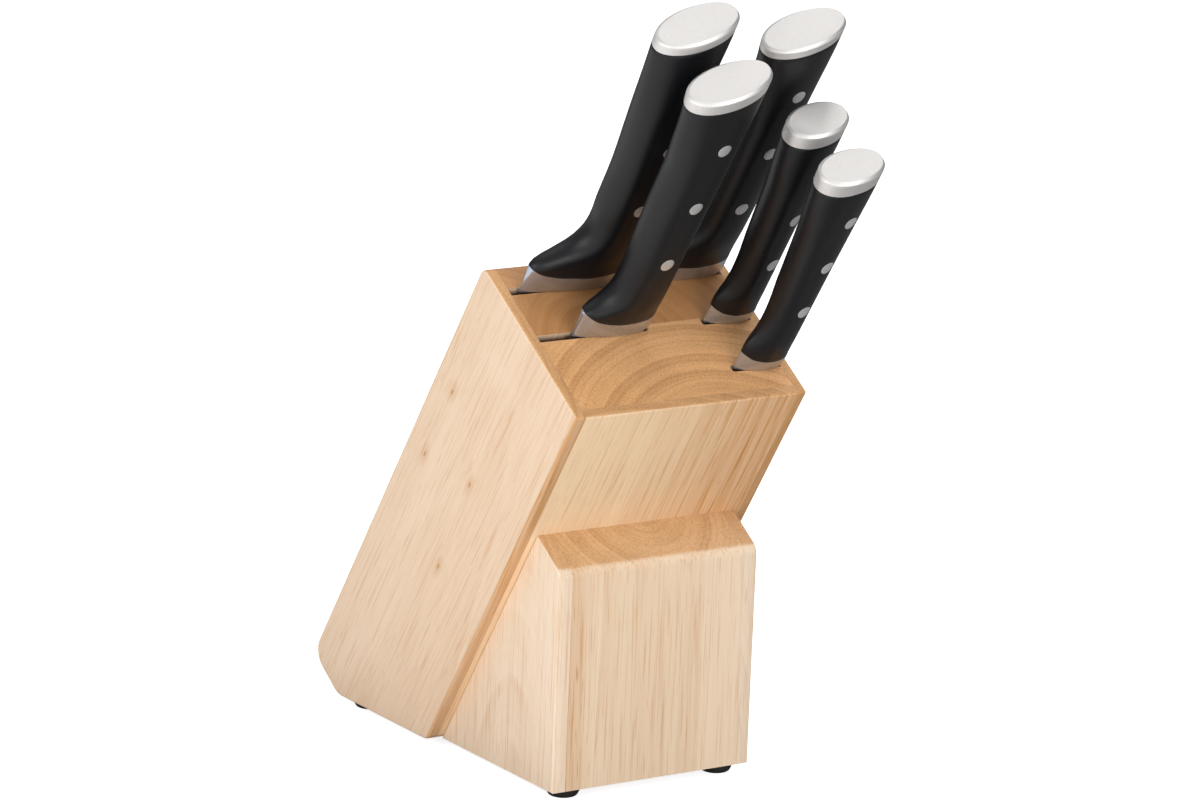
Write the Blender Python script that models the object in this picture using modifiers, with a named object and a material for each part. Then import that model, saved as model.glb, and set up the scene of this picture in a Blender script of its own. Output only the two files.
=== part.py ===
"""Slanted wooden knife block with five knives.

The block is glued up from boards that lean forward over a wedge-shaped prop. Five knives
stand in slots milled between the boards, and each one slides out along the lean.

Metres, +Z up. X runs across the block, -Y is the side the handles face. The origin is the
middle of the footprint, on the surface that the rubber feet stand on.

Inside the block, "across" is X, "depth" is measured from the front face to the back, and
"along" is measured up the lean from the bottom front corner. A knife's own frame keeps
those directions: X from cutting edge to spine, Y in depth, Z up from the block's top face.
"""

import math

import bmesh
import bpy
from mathutils import Matrix, Vector

COLLECTION = "knife_block_with_knives"

# Leaning block
LEAN = math.radians(32.95)
BLOCK_WIDTH = 0.110
BLOCK_DEPTH = 0.0858
FRONT_LENGTH = 0.190
TAIL_LENGTH = 0.0398
CHEEK = 0.0046
FACING = 0.0043
FIRST_ROW_BACK = 0.0186
SECOND_ROW_BACK = 0.0453
THIRD_ROW_BACK = 0.0718
GLUE_LINE = 0.0003
SLOT_THICKNESS = 0.0036
EDGE_SOFTENING = 0.0012
CORNER_RADII = {"back_top": 0.0044, "front_top": 0.0012, "front_foot": 0.003,
                "tail_foot": 0.003, "tail_back": 0.0085}

# Prop under the lean
PROP_INSET = 0.00735
PROP_TOP_ALONG = 0.1223
PROP_FRONT_Y = -0.0841
PROP_LAMELLA = 0.0065
DOWEL_RADIUS = 0.004
DOWEL_ACROSS = (0.035, 0.075)
DOWEL_ALONG = 0.060
DOWEL_IN_BLOCK = 0.010
DOWEL_IN_PROP = 0.025

# Feet and their screws
FOOT_RADIUS = 0.0068
FOOT_TREAD_RADIUS = 0.0057
FOOT_HEIGHT = 0.0036
FOOT_SIDE_MARGIN = 0.0106
FOOT_FRONT_MARGIN = 0.0081
FOOT_BACK_MARGIN = 0.0100
SCREW_HEAD_RADIUS = 0.0031
SCREW_HEAD_HEIGHT = 0.0013
SCREW_RADIUS = 0.0015
SCREW_LENGTH = 0.012

# Shared by all knives
CLEARANCE = 0.0003
BLADE_THICKNESS = 0.0020
BLADE_TOP = -0.0001
BOLSTER_FOOT = 0.0003
BOLSTER_FOOT_HALF = (0.0024, 0.0036)
CAP_BEVEL = 0.0013
RIVET_RADIUS = 0.0031
TANG_THICKNESS = 0.0020
SECTION_STEPS = (-1.0, -0.96, -0.84, -0.66, -0.42, -0.1, 0.3, 0.6, 0.82, 0.95, 1.0)
SPINE_ROUND_START = 0.0
TOE_THINNING = 0.52
TOE_THINNING_ENDS = 0.044
TOE_THINNING_FADE = 0.020

# Handle outlines: (height above the block's top face, distance from the spine line).
# Each grip starts at the bolster, narrows behind the toe and flares towards the cap.
TOE = [(0.0132, 0.0463), (0.0150, 0.0450), (0.0171, 0.0416), (0.0195, 0.0372),
       (0.0215, 0.0334), (0.0235, 0.0305), (0.0255, 0.0284), (0.0280, 0.0267),
       (0.0315, 0.0255), (0.036, 0.0251)]
CHEF_GRIP = TOE + [(0.042, 0.0255), (0.062, 0.0261), (0.083, 0.0284), (0.103, 0.0310),
                   (0.118, 0.0331), (0.127, 0.0341), (0.140, 0.0342)]
WIDE_FLARE = [(1.052 * height, width) for height, width in TOE] + [(0.048, 0.0249)]
NARROW_FLARE = [(0.0138, 0.0350), (0.0160, 0.0316), (0.0190, 0.0280), (0.0220, 0.0258),
                (0.026, 0.0244), (0.031, 0.0238), (0.037, 0.0237), (0.044, 0.0240)]
SMALL_FLARE = [(0.0080, 0.0222), (0.0136, 0.0219), (0.0197, 0.0195), (0.0290, 0.0182),
               (0.040, 0.0185)]
LARGE_GRIP = [(0.066, 0.0250), (0.090, 0.0258), (0.104, 0.0277), (0.118, 0.0297),
              (0.127, 0.0315), (0.140, 0.0330)]
SMALL_GRIP = [(0.057, 0.0198), (0.074, 0.0215), (0.087, 0.0236), (0.099, 0.0252),
              (0.112, 0.0264)]
LARGE_SPINE = [(-0.0018, -0.0002), (0.0, 0.0002), (0.003, 0.0008), (0.010, 0.0003),
               (0.030, -0.0003), (0.050, -0.0002), (0.080, 0.0007), (0.104, 0.0012), (0.127, 0.0020), (0.140, 0.0018)]
SMALL_SPINE = [(-0.0018, -0.0002), (0.0, 0.0002), (0.003, 0.0008), (0.010, 0.0003),
               (0.027, -0.0003), (0.057, 0.0), (0.080, 0.0007), (0.100, 0.0013), (0.112, 0.0012)]
LARGE_HALF_THICKNESS = [(0.0105, 0.0068), (0.020, 0.0078), (0.040, 0.0088),
                        (0.080, 0.0093), (0.104, 0.0096), (0.140, 0.0101)]
SMALL_HALF_THICKNESS = [(0.0085, 0.0056), (0.018, 0.0066), (0.040, 0.0073),
                        (0.080, 0.0082), (0.112, 0.0094)]

# Width of the rounded zone along the grip's edge side, by height.
WIDE_ROUND = [(0.0150, 0.0060), (0.0176, 0.0090), (0.0200, 0.0100), (0.026, 0.0085),
              (0.036, 0.0075), (0.090, 0.0085), (0.118, 0.0150), (0.132, 0.0170)]
NARROW_ROUND = [(0.010, 0.0060), (0.036, 0.0075), (0.090, 0.0085), (0.118, 0.0150),
                (0.132, 0.0170)]
SMALL_ROUND = [(0.008, 0.0060), (0.070, 0.0068), (0.095, 0.0105), (0.108, 0.0130)]


class Knife:
    """The sizes of one knife and where it stands in the block."""

    def __init__(self, name, spine_x, depth, blade_width, blade_length, shape, size, stretch,
                 spine_drift, rivet_lift, cap_band):
        self.name = name
        self.spine_x = spine_x
        self.depth = depth
        self.blade_width = blade_width
        self.blade_length = blade_length
        self.shape = shape
        self.large = size == "large"
        self.stretch = stretch
        self.spine_drift = spine_drift
        self.rivet_lift = rivet_lift
        self.cap_band = cap_band
        self.cap_slope = 0.38 if self.large else 0.28
        self.grip_bottom = 0.0105 if self.large else 0.0075
        self.edge_rise = 0.0035 if self.large else 0.0022
        self.cap_top = (0.1350 if self.large else 0.1112) * stretch
        rounds = {"chef": WIDE_ROUND, "santoku": WIDE_ROUND, "bread": NARROW_ROUND}
        self.round_width = rounds.get(shape, SMALL_ROUND)
        self.tang_width = 0.014 if self.large else 0.009
        self.tang_middle = -0.0125 if self.large else -0.0090
        self.rivets = (0.0449, 0.0756, 0.1067) if self.large else (0.0367, 0.0617, 0.0867)
        self.rivet_x = ((-0.0121, -0.0113, -0.0109) if self.large
                        else (-0.0071, -0.0069, -0.0067))

    def outline(self):
        """Distance of the grip's edge side from the spine line, by height."""
        outlines = {"chef": CHEF_GRIP, "santoku": WIDE_FLARE + LARGE_GRIP,
                    "bread": NARROW_FLARE + LARGE_GRIP}
        return outlines.get(self.shape, SMALL_FLARE + SMALL_GRIP)

    def half_thickness(self, height):
        """Half of the grip's thickness at a height."""
        table = LARGE_HALF_THICKNESS if self.large else SMALL_HALF_THICKNESS
        return smooth_value(table, height / self.stretch)

    def edge_x(self, height):
        """Edge side of the grip at a height."""
        return -smooth_value(self.outline(), height / self.stretch)

    def spine(self, height):
        """Spine side of the grip at a height."""
        table = LARGE_SPINE if self.large else SMALL_SPINE
        drift = self.spine_drift * height / self.cap_top
        return smooth_value(table, height / self.stretch) + drift


KNIVES = (
    Knife("chef_knife", 0.0548, 0.0700, 0.0455, 0.200, "chef", "large", 1.045, -0.003, 0.0018, 0.0052),
    Knife("bread_knife", 0.0550, 0.0435, 0.0372, 0.200, "bread", "large", 1.0, 0.0, 0.0, 0.0060),
    Knife("santoku_knife", 0.1050, 0.0700, 0.0455, 0.180, "santoku", "large", 0.993, 0.0, 0.0, 0.0046),
    Knife("utility_knife", 0.1050, 0.0435, 0.0216, 0.110, "utility", "small", 0.997, -0.0018, 0.0, 0.0070),
    Knife("paring_knife", 0.1052, 0.0168, 0.0212, 0.090, "paring", "small", 0.996, 0.0, 0.0, 0.0072),
)


def smooth_value(table, at):
    """Value of a smooth curve through (position, value) points, held past its ends."""
    if at <= table[0][0]:
        return table[0][1]
    if at >= table[-1][0]:
        return table[-1][1]
    step = next(i for i in range(len(table) - 1) if at <= table[i + 1][0])
    (x0, y0), (x1, y1) = table[step], table[step + 1]
    before = table[max(step - 1, 0)]
    after = table[min(step + 2, len(table) - 1)]
    slope_in = (y1 - before[1]) / (x1 - before[0])
    slope_out = (after[1] - y0) / (after[0] - x0)
    span = x1 - x0
    t = (at - x0) / span
    return ((2 * t**3 - 3 * t**2 + 1) * y0 + (t**3 - 2 * t**2 + t) * span * slope_in
            + (3 * t**2 - 2 * t**3) * y1 + (t**3 - t**2) * span * slope_out)


def clear_scene():
    """Remove the objects that the scene starts with."""
    for thing in list(bpy.data.objects):
        bpy.data.objects.remove(thing, do_unlink=True)


def make_collection(name):
    """Add a collection to the scene."""
    collection = bpy.data.collections.new(name)
    bpy.context.scene.collection.children.link(collection)
    return collection


def make_material(name, colour, roughness, metallic=0.0):
    """A plain surface finish; the colour is linear RGB."""
    material = bpy.data.materials.new(name)
    material.use_nodes = True
    shader = material.node_tree.nodes["Principled BSDF"]
    shader.inputs["Base Color"].default_value = (*colour, 1.0)
    shader.inputs["Roughness"].default_value = roughness
    shader.inputs["Metallic"].default_value = metallic
    return material


def add_empty(name, collection, parent=None, location=(0, 0, 0), lean=0.0):
    """An empty that carries a group of pieces."""
    empty = bpy.data.objects.new(name, None)
    empty.empty_display_size = 0.02
    empty.location = location
    empty.rotation_euler = (lean, 0.0, 0.0)
    empty.parent = parent
    collection.objects.link(empty)
    return empty


class Workshop:
    """Adds pieces and cutters to their collections and keeps the finishes."""

    def __init__(self):
        self.pieces = make_collection(COLLECTION)
        self.cutters = make_collection(COLLECTION + "_cutters")
        self.finishes = {
            "wood": make_material("beech", (0.75, 0.52, 0.33), 0.5),
            "steel": make_material("brushed_steel", (0.62, 0.61, 0.60), 0.3, 1.0),
            "plastic": make_material("black_plastic", (0.012, 0.012, 0.013), 0.4),
            "rubber": make_material("black_rubber", (0.02, 0.02, 0.02), 0.8),
        }

    def add(self, name, mesh, parent, finish=None):
        """Put a mesh in the scene; without a finish it is a hidden cutter."""
        thing = bpy.data.objects.new(name, mesh)
        thing.parent = parent
        if finish:
            mesh.materials.append(self.finishes[finish])
            self.pieces.objects.link(thing)
        else:
            thing.hide_render = True
            thing.display_type = "WIRE"
            self.cutters.objects.link(thing)
        return thing

    def box(self, name, low, high, parent, finish=None):
        """A box between two corners."""
        low, high = Vector(low), Vector(high)
        form = bmesh.new()
        bmesh.ops.create_cube(form, size=1.0)
        bmesh.ops.scale(form, vec=high - low, verts=form.verts)
        bmesh.ops.translate(form, vec=(low + high) / 2, verts=form.verts)
        return self.add(name, to_mesh(name, form), parent, finish)

    def rod(self, name, radius, start, end, parent, finish=None, sides=16):
        """A round rod between two points."""
        start, end = Vector(start), Vector(end)
        turn = (end - start).to_track_quat("Z", "Y").to_matrix().to_4x4()
        form = bmesh.new()
        bmesh.ops.create_cone(form, cap_ends=True, segments=sides, radius1=radius,
                              radius2=radius, depth=(end - start).length,
                              matrix=Matrix.Translation((start + end) / 2) @ turn)
        rod = self.add(name, to_mesh(name, form), parent, finish)
        shade_round(rod)
        return rod

    def prism(self, name, outline, thickness, placing, parent, finish=None):
        """A flat outline given thickness, turned from its XY plane by a matrix."""
        curve = bpy.data.curves.new(name, "CURVE")
        curve.dimensions = "2D"
        curve.fill_mode = "BOTH"
        curve.extrude = thickness / 2
        spline = curve.splines.new("POLY")
        spline.points.add(len(outline) - 1)
        for point, (x, y) in zip(spline.points, outline):
            point.co = (x, y, 0.0, 1.0)
        spline.use_cyclic_u = True
        mesh = welded_mesh(name, curve, self.cutters)
        mesh.transform(placing)
        return self.add(name, mesh, parent, finish)

    def turned(self, name, profile, centre, parent, finish, sides=24):
        """A piece turned about the vertical from (radius, height) points, top to bottom."""
        form = bmesh.new()
        verts = [form.verts.new((radius, 0.0, height)) for radius, height in profile]
        for first, second in zip(verts, verts[1:]):
            form.edges.new((first, second))
        piece = self.add(name, to_mesh(name, form), parent, finish)
        piece.location = centre
        screw = piece.modifiers.new("turn", "SCREW")
        screw.steps = screw.render_steps = sides
        screw.use_merge_vertices = True
        screw.merge_threshold = 0.00001
        return piece

    def loft(self, name, rings, parent, finish):
        """A closed skin over rings of points, each end closed by a fan."""
        form = bmesh.new()
        rows = [[form.verts.new(point) for point in ring] for ring in rings]
        count = len(rows[0])
        for low, high in zip(rows, rows[1:]):
            for i in range(count):
                j = (i + 1) % count
                form.faces.new((low[i], low[j], high[j], high[i]))
        for row in (rows[0], rows[-1]):
            middle = form.verts.new(sum((v.co for v in row), Vector()) / count)
            for i in range(count):
                form.faces.new((row[i], row[(i + 1) % count], middle))
        bmesh.ops.recalc_face_normals(form, faces=form.faces)
        piece = self.add(name, to_mesh(name, form), parent, finish)
        shade_round(piece)
        return piece


def to_mesh(name, form):
    """Turn a bmesh into a mesh and free it."""
    mesh = bpy.data.meshes.new(name)
    form.to_mesh(mesh)
    form.free()
    return mesh


def welded_mesh(name, curve, collection):
    """The closed mesh of a filled curve."""
    holder = bpy.data.objects.new(name + "_outline", curve)
    collection.objects.link(holder)
    bpy.context.view_layer.update()
    seen = holder.evaluated_get(bpy.context.evaluated_depsgraph_get())
    mesh = bpy.data.meshes.new_from_object(seen)
    bpy.data.objects.remove(holder, do_unlink=True)
    form = bmesh.new()
    form.from_mesh(mesh)
    bmesh.ops.remove_doubles(form, verts=form.verts, dist=0.000001)
    bmesh.ops.recalc_face_normals(form, faces=form.faces)
    form.to_mesh(mesh)
    form.free()
    mesh.name = name
    return mesh


def shade_round(thing):
    """Shade a round piece smooth, keeping its sharp edges."""
    thing.data.shade_smooth()
    thing.data.set_sharp_from_angle(angle=math.radians(40))


def boolean(piece, cutter, operation="DIFFERENCE"):
    """Cut a piece with a cutter, or keep only what lies inside it."""
    modifier = piece.modifiers.new(cutter.name, "BOOLEAN")
    modifier.operation = operation
    modifier.object = cutter


def rounded(corners, steps=4):
    """Corner points as (x, y, radius), each corner replaced by an arc of its radius."""
    outline = []
    count = len(corners)
    for i, (x, y, radius) in enumerate(corners):
        corner = Vector((x, y))
        before = (Vector(corners[i - 1][:2]) - corner).normalized()
        after = (Vector(corners[(i + 1) % count][:2]) - corner).normalized()
        half = before.angle(after) / 2
        reach = radius / math.tan(half)
        centre = corner + (before + after).normalized() * radius / math.sin(half)
        start = corner + before * reach - centre
        sweep = start.angle_signed(corner + after * reach - centre)
        for k in range(steps + 1):
            turned = start.copy()
            turned.rotate(Matrix.Rotation(-sweep * k / steps, 2))
            outline.append(tuple(centre + turned))
    return outline


def side_turn():
    """Turns an outline's XY plane into the block's depth-along plane."""
    return Matrix(((0, 0, 1, 0), (1, 0, 0, 0), (0, 1, 0, 0), (0, 0, 0, 1)))


def front_turn():
    """Turns an outline's XY plane into a knife's own XZ plane."""
    return Matrix(((1, 0, 0, 0), (0, 0, -1, 0), (0, 1, 0, 0), (0, 0, 0, 1)))


def block_envelope(shop, leaning):
    """The block's whole outer form, which every glued board is trimmed to."""
    tail_cut_depth = TAIL_LENGTH / math.tan(LEAN)
    corners = [
        (0.0, 0.0, CORNER_RADII["front_foot"]),
        (0.0, FRONT_LENGTH, CORNER_RADII["front_top"]),
        (BLOCK_DEPTH, FRONT_LENGTH, CORNER_RADII["back_top"]),
        (BLOCK_DEPTH, -TAIL_LENGTH, CORNER_RADII["tail_back"]),
        (tail_cut_depth, -TAIL_LENGTH, CORNER_RADII["tail_foot"]),
    ]
    placing = Matrix.Translation((BLOCK_WIDTH / 2, 0, 0)) @ side_turn()
    envelope = shop.prism("envelope", rounded(corners), BLOCK_WIDTH, placing, leaning)
    soften = envelope.modifiers.new("softened_edges", "BEVEL")
    soften.width = EDGE_SOFTENING
    soften.segments = 2
    soften.limit_method = "ANGLE"
    soften.angle_limit = math.radians(60)
    return envelope


def board_limits():
    """Low and high corner of each board in the leaning block, before trimming."""
    half_gap = GLUE_LINE / 2
    low_end, high_end = -TAIL_LENGTH - 0.005, FRONT_LENGTH + 0.005
    left, right = CHEEK + half_gap, BLOCK_WIDTH - CHEEK - half_gap
    rows = {
        "front_facing": (-0.005, FACING),
        "front_slot_board": (FACING, FIRST_ROW_BACK),
        "middle_slot_board": (FIRST_ROW_BACK, SECOND_ROW_BACK),
        "rear_slot_board": (SECOND_ROW_BACK, THIRD_ROW_BACK),
        "back_board": (THIRD_ROW_BACK, BLOCK_DEPTH + 0.005),
    }
    limits = {}
    for name, (front, back) in rows.items():
        limits[name] = ((left, front + half_gap, low_end), (right, back - half_gap, high_end))
    limits["left_cheek"] = ((-0.005, -0.005, low_end),
                            (CHEEK - half_gap, BLOCK_DEPTH + 0.005, high_end))
    limits["right_cheek"] = ((BLOCK_WIDTH - CHEEK + half_gap, -0.005, low_end),
                             (BLOCK_WIDTH + 0.005, BLOCK_DEPTH + 0.005, high_end))
    return limits


def slot_cutters(shop, leaning):
    """The grooves milled in the rear faces of the three slot boards."""
    left_end = CHEEK - 0.002
    right_end = BLOCK_WIDTH - CHEEK
    grooves = {
        "rear_slot_board": ((left_end, 0.0564, THIRD_ROW_BACK), (0.0589, right_end, THIRD_ROW_BACK)),
        "middle_slot_board": ((left_end, 0.0575, SECOND_ROW_BACK), (0.0820, right_end, SECOND_ROW_BACK)),
        "front_slot_board": ((0.0820, right_end, FIRST_ROW_BACK),),
    }
    cutters = {}
    for board, spans in grooves.items():
        cutters[board] = []
        for number, (start, end, back) in enumerate(spans, 1):
            low = (start, back - SLOT_THICKNESS, -TAIL_LENGTH - 0.01)
            high = (end + 0.001, back + 0.002, FRONT_LENGTH + 0.01)
            cutters[board].append(shop.box(f"{board}_groove_{number}", low, high, leaning))
    return cutters


def foot_centres():
    """Each foot's name and its middle on the underside, in the block's own upright frame."""
    tail_edge = TAIL_LENGTH / math.sin(LEAN)
    front_y = PROP_FRONT_Y + FOOT_FRONT_MARGIN
    back_y = tail_edge - FOOT_BACK_MARGIN
    front_in = PROP_INSET + FOOT_SIDE_MARGIN
    return {
        "front_left_foot": (front_in, front_y),
        "front_right_foot": (BLOCK_WIDTH - front_in, front_y),
        "rear_left_foot": (FOOT_SIDE_MARGIN, back_y),
        "rear_right_foot": (BLOCK_WIDTH - FOOT_SIDE_MARGIN, back_y),
    }


def screw_holes(shop, root):
    """Pilot holes for the four foot screws."""
    holes = {}
    for name, (x, y) in foot_centres().items():
        holes[name] = shop.rod(name + "_pilot", SCREW_RADIUS + CLEARANCE, (x, y, -0.002),
                               (x, y, SCREW_LENGTH + 0.001), root)
    return holes


def dowel_holes(shop, leaning):
    """Holes for the two dowels that hold the prop to the block."""
    return [shop.rod(f"dowel_hole_{number}", DOWEL_RADIUS + CLEARANCE,
                     (across, DOWEL_IN_BLOCK + 0.001, DOWEL_ALONG),
                     (across, -DOWEL_IN_PROP - 0.001, DOWEL_ALONG), leaning)
            for number, across in enumerate(DOWEL_ACROSS, 1)]


def build_leaning_block(shop, leaning, pilots, dowels):
    """Seven boards: two cheeks, three slot boards, the back board and the front facing."""
    envelope = block_envelope(shop, leaning)
    grooves = slot_cutters(shop, leaning)
    for name, (low, high) in board_limits().items():
        board = shop.box(name, low, high, leaning, "wood")
        boolean(board, envelope, "INTERSECT")
        for groove in grooves.get(name, ()):
            boolean(board, groove)
        if name in ("front_facing", "front_slot_board"):
            for hole in dowels:
                boolean(board, hole)
        if name == "rear_slot_board":
            boolean(board, pilots["rear_left_foot"])
            boolean(board, pilots["rear_right_foot"])


def build_prop(shop, root, pilots, dowels):
    """The wedge-shaped prop: a wide core between two thin lamellas."""
    gap = CLEARANCE
    top_y = -PROP_TOP_ALONG * math.sin(LEAN)
    top_z = PROP_TOP_ALONG * math.cos(LEAN)
    drop = (top_y - PROP_FRONT_Y) * math.tan(LEAN)
    set_back = gap / math.cos(LEAN)
    corners = [(-set_back, 0.0, 0.0004), (PROP_FRONT_Y, 0.0, 0.0015),
               (PROP_FRONT_Y, top_z - drop, 0.0015),
               (top_y - gap * math.cos(LEAN), top_z - gap * math.sin(LEAN), 0.0004)]
    outline = rounded(corners, 3)
    left, right = PROP_INSET, BLOCK_WIDTH - PROP_INSET
    spans = {
        "prop_left_lamella": (left, left + PROP_LAMELLA - gap / 2),
        "prop_core": (left + PROP_LAMELLA + gap / 2, right - PROP_LAMELLA - gap / 2),
        "prop_right_lamella": (right - PROP_LAMELLA + gap / 2, right),
    }
    for name, (start, end) in spans.items():
        placing = Matrix.Translation(((start + end) / 2, 0, 0)) @ side_turn()
        piece = shop.prism(name, outline, end - start, placing, root, "wood")
        if name == "prop_core":
            for cutter in dowels + [pilots["front_left_foot"], pilots["front_right_foot"]]:
                boolean(piece, cutter)


def build_dowels(shop, leaning):
    """Two dowels across the joint between block and prop."""
    for number, across in enumerate(DOWEL_ACROSS, 1):
        shop.rod(f"dowel_{number}", DOWEL_RADIUS, (across, DOWEL_IN_BLOCK, DOWEL_ALONG),
                 (across, -DOWEL_IN_PROP, DOWEL_ALONG), leaning, "wood")


def build_feet(shop, root):
    """Four rubber feet, each held by a countersunk screw."""
    seat = -FOOT_HEIGHT + 0.0010
    hole = SCREW_RADIUS + CLEARANCE
    recess = SCREW_HEAD_RADIUS + CLEARANCE
    floor = -FOOT_HEIGHT - CLEARANCE
    ceiling = seat + SCREW_HEAD_HEIGHT + CLEARANCE
    profile = [(hole, -CLEARANCE), (FOOT_RADIUS, -CLEARANCE), (FOOT_RADIUS, -0.0011),
               (FOOT_TREAD_RADIUS + 0.0004, floor + 0.0006), (FOOT_TREAD_RADIUS, floor),
               (recess, floor), (recess, ceiling), (hole, ceiling), (hole, -CLEARANCE)]
    screw = [(0.0, SCREW_LENGTH), (SCREW_RADIUS, SCREW_LENGTH - 0.002),
             (SCREW_RADIUS, seat + SCREW_HEAD_HEIGHT), (SCREW_HEAD_RADIUS, seat + SCREW_HEAD_HEIGHT),
             (SCREW_HEAD_RADIUS, seat), (0.0, seat)]
    for name, (x, y) in foot_centres().items():
        shop.turned(name, profile, (x, y, 0), root, "rubber")
        shop.turned(name.replace("foot", "foot_screw"), screw, (x, y, 0), root, "steel", 16)


def section(knife, height_at, scale_at=None, shrink=0.0):
    """One ring of a grip; height_at gives each point's height from its place u.

    u runs from -1 at the edge side to +1 at the spine. scale_at, if given, thins the ring.
    """
    scale_at = scale_at or (lambda u: 1.0)
    upper = [ring_point(knife, u, height_at(u), scale_at(u), shrink) for u in SECTION_STEPS]
    lower = [Vector((p.x, -p.y, p.z)) for p in reversed(upper[1:-1])]
    return upper + lower


def ring_point(knife, u, height, half_scale, shrink):
    """A point of the grip's skin on the depth side, at place u and a height."""
    edge = knife.edge_x(height) + shrink
    spine = knife.spine(height) - shrink
    middle, reach = (edge + spine) / 2, (spine - edge) / 2
    x = middle + u * reach
    width = min(smooth_value(knife.round_width, height / knife.stretch), reach)
    round_end = edge + width
    fullness = 1.0
    if x < round_end:
        fullness = math.sqrt(max(0.0, 1 - ((round_end - x) / width) ** 2))
    if u > SPINE_ROUND_START:
        past = (u - SPINE_ROUND_START) / (1 - SPINE_ROUND_START)
        fullness = max(0.0, 1 - past ** 2.1) ** (1 / 2.1)
    half = (knife.half_thickness(height) - shrink) * half_scale
    return Vector((x, half * fullness * toe_taper(knife, x, height), height))


def toe_taper(knife, x, height):
    """How much thinner the grip is out on the toe, where the bolster meets a wide blade."""
    grip_edge = -0.020 if knife.large else -0.012
    if x >= grip_edge:
        return 1.0
    reach = min(1.0, (grip_edge - x) / (knife.blade_width + grip_edge))
    fading = min(1.0, max(0.0, (TOE_THINNING_ENDS - height) / TOE_THINNING_FADE))
    return 1 - (1 - TOE_THINNING) * reach * fading


def grip_bottom(knife, u):
    """Height of the line between bolster and grip; it rises round the edge side."""
    past = max(0.0, (-u - 0.3) / 0.7)
    return knife.grip_bottom + knife.edge_rise * past ** 2


def cap_plane(knife, u, below_top):
    """Height of a plane parallel to the cap's slanted top."""
    reach = 0.0165 if knife.large else 0.0128
    return knife.cap_top + knife.cap_slope * reach * u - below_top


def build_grip(shop, knife, carrier, tang_slot, rivet_holes):
    """The moulded grip between bolster and end cap."""
    stations = (0.0, 0.03, 0.07, 0.12, 0.18, 0.26, 0.36, 0.48, 0.62, 0.76, 0.89, 1.0)
    if not knife.large:
        stations = (0.0, 0.05, 0.12, 0.21, 0.33, 0.48, 0.64, 0.80, 0.91, 1.0)
    rings = []
    for share in stations:
        def height_at(u, share=share):
            low = grip_bottom(knife, u) + CLEARANCE / 2
            high = cap_plane(knife, u, knife.cap_band + CLEARANCE / 2)
            return low + (high - low) * share
        rings.append(section(knife, height_at))
    grip = shop.loft(knife.name + "_handle", rings, carrier, "plastic")
    for cutter in [tang_slot] + rivet_holes:
        boolean(grip, cutter)


def build_end_cap(shop, knife, carrier):
    """The steel cap on the butt: a band with a small bevel under a flat slanted top."""
    layers = ((knife.cap_band - CLEARANCE / 2, 0.0), (knife.cap_band * 0.5, 0.0), (CAP_BEVEL, 0.0),
              (CAP_BEVEL * 0.3, CAP_BEVEL * 0.3), (0.0, CAP_BEVEL))
    rings = [section(knife, lambda u, d=depth: cap_plane(knife, u, d), shrink=shrink)
             for depth, shrink in layers]
    shop.loft(knife.name + "_end_cap", rings, carrier, "steel")


def build_bolster(shop, knife, carrier, tang_slot):
    """The steel wedge between blade and grip."""
    rings = []
    for share in (0.0, 0.15, 0.4, 0.7, 1.0):
        def scale_at(u, share=share):
            return bolster_fullness(knife, share, u)

        def height_at(u, share=share):
            return BOLSTER_FOOT + (grip_bottom(knife, u) - CLEARANCE / 2 - BOLSTER_FOOT) * share
        rings.append(section(knife, height_at, scale_at))
    bolster = shop.loft(knife.name + "_bolster", rings, carrier, "steel")
    boolean(bolster, tang_slot)


def bolster_fullness(knife, share, u):
    """Thickness of the bolster as a share of the grip's, from its foot to its top."""
    at_edge, at_spine = BOLSTER_FOOT_HALF
    foot = (at_edge + (at_spine - at_edge) * (u + 1) / 2) / knife.half_thickness(0.0)
    return foot + (1 - foot) * share ** 0.9


def blade_outline(knife):
    """Blade and tang as one outline in the knife's own XZ plane, from the heel round."""
    width, length, top = knife.blade_width, knife.blade_length, BLADE_TOP
    tang_left = knife.tang_middle - knife.tang_width / 2
    tang_right = knife.tang_middle + knife.tang_width / 2
    tang_end = knife.cap_top - knife.cap_band - 0.008
    points = [(tang_left, top), (-width, top)]
    points += blade_edge(knife, width, length, top)
    points += [(0.0, top), (tang_right, top), (tang_right, tang_end), (tang_left, tang_end)]
    return points


def blade_edge(knife, width, length, top):
    """The cutting edge down to the tip and the spine back up."""
    belly = {"chef": 2.6, "bread": 14.0, "santoku": 4.2, "utility": 2.6, "paring": 2.4}[knife.shape]
    droop = {"chef": 0.10, "bread": 0.45, "santoku": 0.72, "utility": 0.14, "paring": 0.16}[knife.shape]
    spine_bend = {"chef": 3.0, "bread": 9.0, "santoku": 6.0, "utility": 3.0, "paring": 3.0}[knife.shape]
    shares = [0.35, 0.55, 0.70, 0.80, 0.88, 0.94, 0.98]
    tip_x = -width * droop
    edge = [(-width + (width + tip_x) * share ** belly, top - length * share) for share in shares]
    spine = [(tip_x * share ** spine_bend, top - length * share) for share in reversed(shares)]
    return edge + [(tip_x, top - length)] + spine


def build_blade(shop, knife, carrier, rivet_holes):
    """The blade, with the tang that carries the grip."""
    blade = shop.prism(knife.name + "_blade", blade_outline(knife), BLADE_THICKNESS,
                       front_turn(), carrier, "steel")
    for hole in rivet_holes:
        boolean(blade, hole)


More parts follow.
